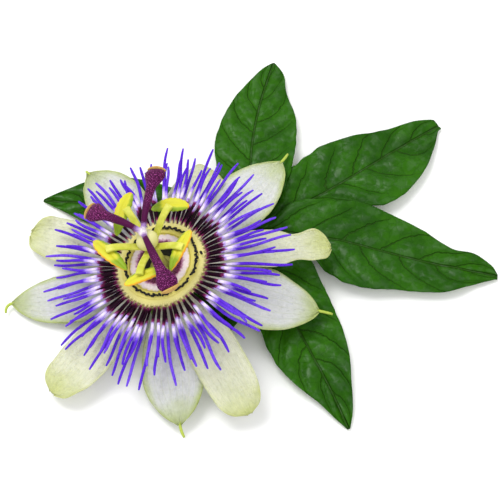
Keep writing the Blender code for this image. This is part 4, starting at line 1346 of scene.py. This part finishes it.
leaves = {
    "rowSize": 0.7,
    "columns": 36,
    "thickness": 0.62,
    "rim": 0.22,
    # the map of the veins: the millimetres across it, the side veins up it and where they start
    "mapWidth": 40.0,
    "mapPhases": 16.0,
    "mapStart": 0.2,
    "veinCount": 6.5,
    "lead": 0.2,
    "quilt": 0.75,
    "bulge": 0.8,
    "wave": 0.2,
    "dent": 0.5,
    "ribDepth": 0.3,
    "veinBend": 0.22,
    "raggedness": 0.1,
    "tipHeight": 1.1,
    "rightHub": (23.5, 15.4, 3.9),
    "rightPetiole": ((11.8, 9.5, 2.0), (15.0, 11.2, 2.5), (19.5, 13.6, 3.0), (23.9, 15.6, 3.5)),
    "leftHub": (12.6, 22.6, 1.6),
    "leftPetiole": ((15.2, 20.9, 1.0), (14.2, 21.6, 1.1), (12.4, 22.7, 1.25)),
    # each lobe: its turn, how far its root lies over its neighbours, and then, out along that
    # turn, the places aside of its left edge, of its midrib and of its right edge
    "right": (
        (83, 0.2,
         ((0, 0.5), (6, 5), (13, 10.2), (21, 12.6), (27, 13.1), (37, 11.1), (45.5, 7.2), (52.4, 3),
          (55.3, 0.2)),
         ((0, 0), (22, 2.6), (33, 2.7), (43, 1.9), (55.3, 0)),
         ((0, -0.5), (6, -4.2), (13, -7.8), (21, -9.1), (31, -9.2), (37, -8), (45, -4.7), (51, -3.3),
          (55.3, -0.2))),
        (34.5, -0.35,
         ((0, 0.5), (6, 4), (12, 7.2), (18.4, 8.8), (24, 9.4), (31, 9.9), (38.5, 8), (47.5, 4.8),
          (57, 2.5), (62.6, 0.3), (64, -1.4)),
         ((0, 0), (9, -0.8), (17.2, -1.9), (30, -2.5), (47, -2.4), (63.1, -2.4)),
         ((0, -0.5), (8, -2.6), (16, -5), (24, -8.8), (29.5, -12), (34, -14.8), (39, -15.3), (45, -14.2),
          (51.1, -11.8), (57.5, -7.5), (62, -3.6))),
        (-10, 0.7,
         ((0, 0.5), (5.3, 4.5), (9.3, 8.9), (14, 10.8), (21.5, 11.6), (28.9, 12.6), (36, 10.9),
          (46.8, 7.4), (54, 4.1), (60.9, 3.6), (66, 1.4), (67.8, -0.8)),
         ((0, 0), (22, 0.4), (36, -0.4), (48, -1.1), (67.8, -1.2)),
         ((0, -0.5), (8, -2.6), (17.2, -5.9), (24, -10.8), (32, -12.3), (42, -10.9), (50, -10.1),
          (55.5, -8.7), (62, -5), (67.4, -2.2))),
        (-65.8, 0.1,
         ((0, 0.5), (6, 5.6), (13.8, 10.3), (22, 10.6), (36.6, 10), (43.7, 8.6), (50.8, 5.8), (57.5, 3),
          (61.2, 0.5)),
         ((0, 0), (15, -0.6), (31.5, -0.6), (47, 0.1), (61.2, 0.1)),
         ((0, -0.5), (8, -4), (18, -8.2), (29.6, -10.1), (37.6, -10), (45.4, -7.8), (51.7, -4.4),
          (57.7, -1.9), (61.2, -0.2))),
        (-113, -0.4,
         ((0, 0.5), (8, 4.4), (20, 8.4), (30, 6.6), (38, 3), (44, 0.2)),
         ((0, 0), (20, 0.3), (44, 0)),
         ((0, -0.5), (8, -4.4), (19, -8.2), (30, -7), (38, -3.2), (44, -0.2))),
    ),
    "left": (
        (118, 0.1,
         ((0, 0.3), (5, 3.4), (8, 3.8), (12, 1.4), (14, 0.1)),
         ((0, 0), (14, 0)),
         ((0, -0.3), (5, -3.2), (8, -3.7), (12, -1.5), (14, -0.1))),
        (176.5, 0,
         ((0, 0.3), (8, 4.6), (18, 7.6), (26, 8), (34, 6.2), (42, 2.5), (46.5, 0.3)),
         ((0, 0), (22, 0.5), (46.5, 0)),
         ((0, -0.3), (8, -4.4), (18, -7.4), (27, -8.1), (35, -6.2), (42, -2.8), (46.5, -0.3))),
        (226, -0.1,
         ((0, 0.3), (5, 2.8), (8, 3.5), (12, 1.4), (14, 0.1)),
         ((0, 0), (14, 0)),
         ((0, -0.3), (5, -3), (8, -3.4), (12, -1.3), (14, -0.1))),
    ),
}


def veinPhase(share, across, number):
    # whole numbers lie on the side veins, which alternate left and right
    bend = leaves["veinBend"] * noise.noise(Vector((3 * share, 1.5 * across, number * 5.3)))
    shift = 0.5 if across < 0 else 0
    return (share - leaves["lead"] * abs(across) ** 1.3) * leaves["veinCount"] + shift + bend


def lobeSpan(lobe, share, across):
    # how far out a lobe's place lies, and the places aside of its midrib and its edge there
    left, midrib, right = lobe[2:]
    along = midrib[-1][0] * share
    return along, curveThrough(midrib, along), curveThrough(left if across < 0 else right, along)


def lobePlace(lobe, number, share, across, hub, waves, trough):
    along, middle, edge = lobeSpan(lobe, share, across)
    width = abs(edge - middle)
    ragged = leaves["raggedness"] * noise.noise(Vector((0.35 * along, math.copysign(3, across), number)))
    aside = middle + (edge - middle) * abs(across) * (1 + ragged * ease(0, 0.3, share) * (1 - share) * 0.6)
    level = hub.z + (leaves["tipHeight"] - hub.z) * share**1.5
    bulge = leaves["bulge"] * waves * math.sin(math.pi * share) ** 0.7
    fold = trough * abs(across) * ease(0, 0.25, share) * (1 - ease(0.85, 1, share))
    wave = leaves["wave"] * waves * math.sin(3.3 * math.tau * share + 1.3 * number + across) * across**2
    phase = veinPhase(share, across, number)
    pillow = abs(math.sin(math.pi * phase)) ** 0.7
    inside = ease(0.03, 0.25, abs(across)) * (1 - ease(0.7, 1, abs(across)))
    quilt = leaves["quilt"] * (pillow - 0.6) * inside * ease(0, 8, width)
    dent = leaves["dent"] * noise.noise(Vector((along, aside, 7 * number)) * 0.22)
    ends = ease(0, 0.2, share) * (1 - ease(0.88, 1, share))
    rib = -leaves["ribDepth"] * math.exp(-((across * width / 0.5) ** 2)) * ease(0, 0.1, share)
    over = lobe[1] * (1 - ease(0.35, 0.6, share)) * ease(0, 0.1, share)
    out = polar(lobe[0], 1)
    place = out * along + up.cross(out) * aside
    raised = level + bulge + fold + over + rib + (wave + quilt + dent) * ends
    return Vector((hub.x + place.x, hub.y + place.y, max(raised, 0.75))) * mm


def addLobe(bm, lobe, number, hub, waves, trough):
    vein = bm.loops.layers.uv["vein"]
    deform = bm.verts.layers.deform.active
    before = set(bm.verts)
    rows = round(lobe[3][-1][0] / leaves["rowSize"])
    bmesh.ops.create_grid(bm, x_segments=leaves["columns"], y_segments=rows, size=1)
    fresh = [v for v in bm.verts if v not in before]
    for face in {f for v in fresh for f in v.link_faces}:
        middle = face.calc_center_median().x
        for loop in face.loops:
            across = -loop.vert.co.x if abs(loop.vert.co.x) > 1e-4 else -math.copysign(1e-4, middle)
            share = (loop.vert.co.y + 1) / 2
            midrib, edge = lobeSpan(lobe, share, across)[1:]
            aside = across * abs(edge - midrib) / leaves["mapWidth"]
            phase = veinPhase(share, across, number) / leaves["mapPhases"]
            loop[vein].uv = (0.5 + aside, leaves["mapStart"] + phase)
    for vert in fresh:
        across, share = -vert.co.x, (vert.co.y + 1) / 2
        vert[deform][0] = ease(0, 0.25, min(1 - abs(across), (1 - share) * 6))
        vert.co = lobePlace(lobe, number, share, across, hub, waves, trough)


def addLeaf(name, node, hub, lobes, waves, trough):
    bm = bmesh.new()
    bm.loops.layers.uv.new("vein")
    bm.verts.layers.deform.new()
    for number, lobe in enumerate(lobes):
        addLobe(bm, lobe, number, Vector(hub), waves, trough)
    bm.normal_update()
    for face in bm.faces:
        if face.normal.z < 0:
            face.normal_flip()
    piece = addPiece(name, bm, [leafTop, leafUnder], node)
    giveThickness(piece, leaves, backMaterial=1)


def addPetiole(name, points, radius, node):
    path = smoothPath([Vector(p) * mm for p in points], 40)
    radii = [radius * mm] * len(path)
    bm = bmesh.new()
    growTubes(bm, [ringsAlong(path, radii, radii)], 16)
    addPiece(name, bm, [stemFinish], node, outwards=True)


def makeLeafFinish(name, dark, middle, light, veinColour, roughness, veinShare, relief, glossy):
    finish = newFinish(name, roughness, specular=0.12)
    u, v = ownMap(finish, "vein")
    across = asideOf(u, leaves["mapWidth"])
    place = objectPlace(finish)
    wobble = times(noiseOf(place, 0.5, 3), 0.22)
    phases = leaves["mapPhases"]
    phase = sums("ADD", timesPlus(v, phases, -phases * leaves["mapStart"]), wobble)
    off = fromWhole(phase)
    thin = timesPlus(across, 0.0016, 0.455)
    sideVein = times(rise(off, thin, 0.5), rise(across, 12.0, 7.0))
    midrib = rise(across, 0.42, 0.16)
    veins = sums("MAXIMUM", midrib, sideVein)
    net = addNode(finish, "TexVoronoi", {"Vector": place, "Scale": 0.36}, feature="DISTANCE_TO_EDGE")
    fine = rise(net.outputs["Distance"], 0.07, 0.0)
    cloud = noiseOf(place, 0.09, 3)
    patch = noiseOf(place, 0.42, 4)
    colour = blend(rise(cloud, 0.3, 0.6), dark, middle)
    colour = tint(colour, light, rise(patch, 0.4, 0.8), 0.2)
    colour = tint(colour, dark, fine, 0.4)
    pillow = rise(net.outputs["Distance"], 0.0, 0.3)
    colour = tint(colour, veinColour, veins, veinShare)
    wet = times(rise(off, 0.42, 0.15), rise(noiseOf(place, 0.5, 2), 0.4, 0.62))
    gloss = timesPlus(wet, glossy, 0.06)
    normal = bumps(patch, 0.35 * relief, 0.5)
    normal = bumps(rise(off, 0.5, 0.1), 0.5 * relief, 0.7, normal)
    normal = bumps(pillow, 0.07 * relief, 0.5, normal)
    normal = bumps(fine, -0.08 * relief, 0.4, normal)
    normal = bumps(veins, -0.3 * relief, 0.9, normal)
    return setShader(finish, colour=colour, normal=normal, specular=gloss)


leafTop = makeLeafFinish("leafTop", "leafDark", "leafGreen", "leafLight", "veinOlive", 0.38, 0.8, 1, 0.2)
undersides = ("underDark", "leafUnder", "underLight", "underVein")
leafUnder = makeLeafFinish("leafUnder", *undersides, 0.6, 0.7, -1, 0.05)
addLeaf("rightLeaf", "leaf_right", leaves["rightHub"], leaves["right"], 1.0, 0.55)
addPetiole("rightPetiole", leaves["rightPetiole"], 0.75, "leaf_right")
addLeaf("leftLeaf", "leaf_left", leaves["leftHub"], leaves["left"], 0.15, 0.2)
addPetiole("leftPetiole", leaves["leftPetiole"], 0.6, "leaf_left")
print("leaves made")


# Floor, lights and camera

studio = {
    "floorSize": 4.0,
    "worldStrength": 0.9,
    "keyPlace": (-0.2, 0.22, 0.66),
    "keySize": 0.35,
    "keyPower": 2.8,
    "fillPlace": (0.25, -0.4, 0.7),
    "fillSize": 0.6,
    "fillPower": 1.0,
    "target": (23.3, 7, 8),
    "elevation": 65,
    "distance": 0.37,
    "lens": 100,
}


def addFloor():
    bm = bmesh.new()
    bmesh.ops.create_grid(bm, x_segments=1, y_segments=1, size=studio["floorSize"] / 2)
    mesh = bpy.data.meshes.new("floor")
    bm.to_mesh(mesh)
    bm.free()
    finish = newFinish("floorPaper", 0.8, specular=0.2)
    finish.node_tree.nodes["Principled BSDF"].inputs["Base Color"].default_value = linear("floorWhite")
    mesh.materials.append(finish)
    floor = linked("floor", mesh)
    floor.location.z = cadBox[0].z


def addLight(name, place, size, power):
    light = bpy.data.lights.new(name, "AREA")
    light.shape = "DISK"
    light.size = size
    light.energy = power
    lamp = linked(name, light)
    target = Vector(studio["target"]) * mm
    lamp.location = place
    lamp.rotation_euler = (target - lamp.location).to_track_quat("-Z", "Y").to_euler()


def addCamera():
    lens = bpy.data.cameras.new("camera")
    lens.lens = studio["lens"]
    lens.clip_start = 0.01
    camera = linked("camera", lens)
    tilt = math.radians(studio["elevation"])
    back = Vector((0, -math.cos(tilt), math.sin(tilt)))
    camera.location = Vector(studio["target"]) * mm + back * studio["distance"]
    camera.rotation_euler = (-back).to_track_quat("-Z", "Y").to_euler()
    bpy.context.scene.camera = camera


addFloor()
world = bpy.data.worlds.new("studio")
world.use_nodes = True
sky = world.node_tree.nodes["Background"].inputs
sky["Color"].default_value = (1, 1, 1, 1)
sky["Strength"].default_value = studio["worldStrength"]
bpy.context.scene.world = world
addLight("keyLight", studio["keyPlace"], studio["keySize"], studio["keyPower"])
addLight("fillLight", studio["fillPlace"], studio["fillSize"], studio["fillPower"])
addCamera()
bpy.context.scene.view_settings.view_transform = "Standard"
print("floor, lights and camera made")
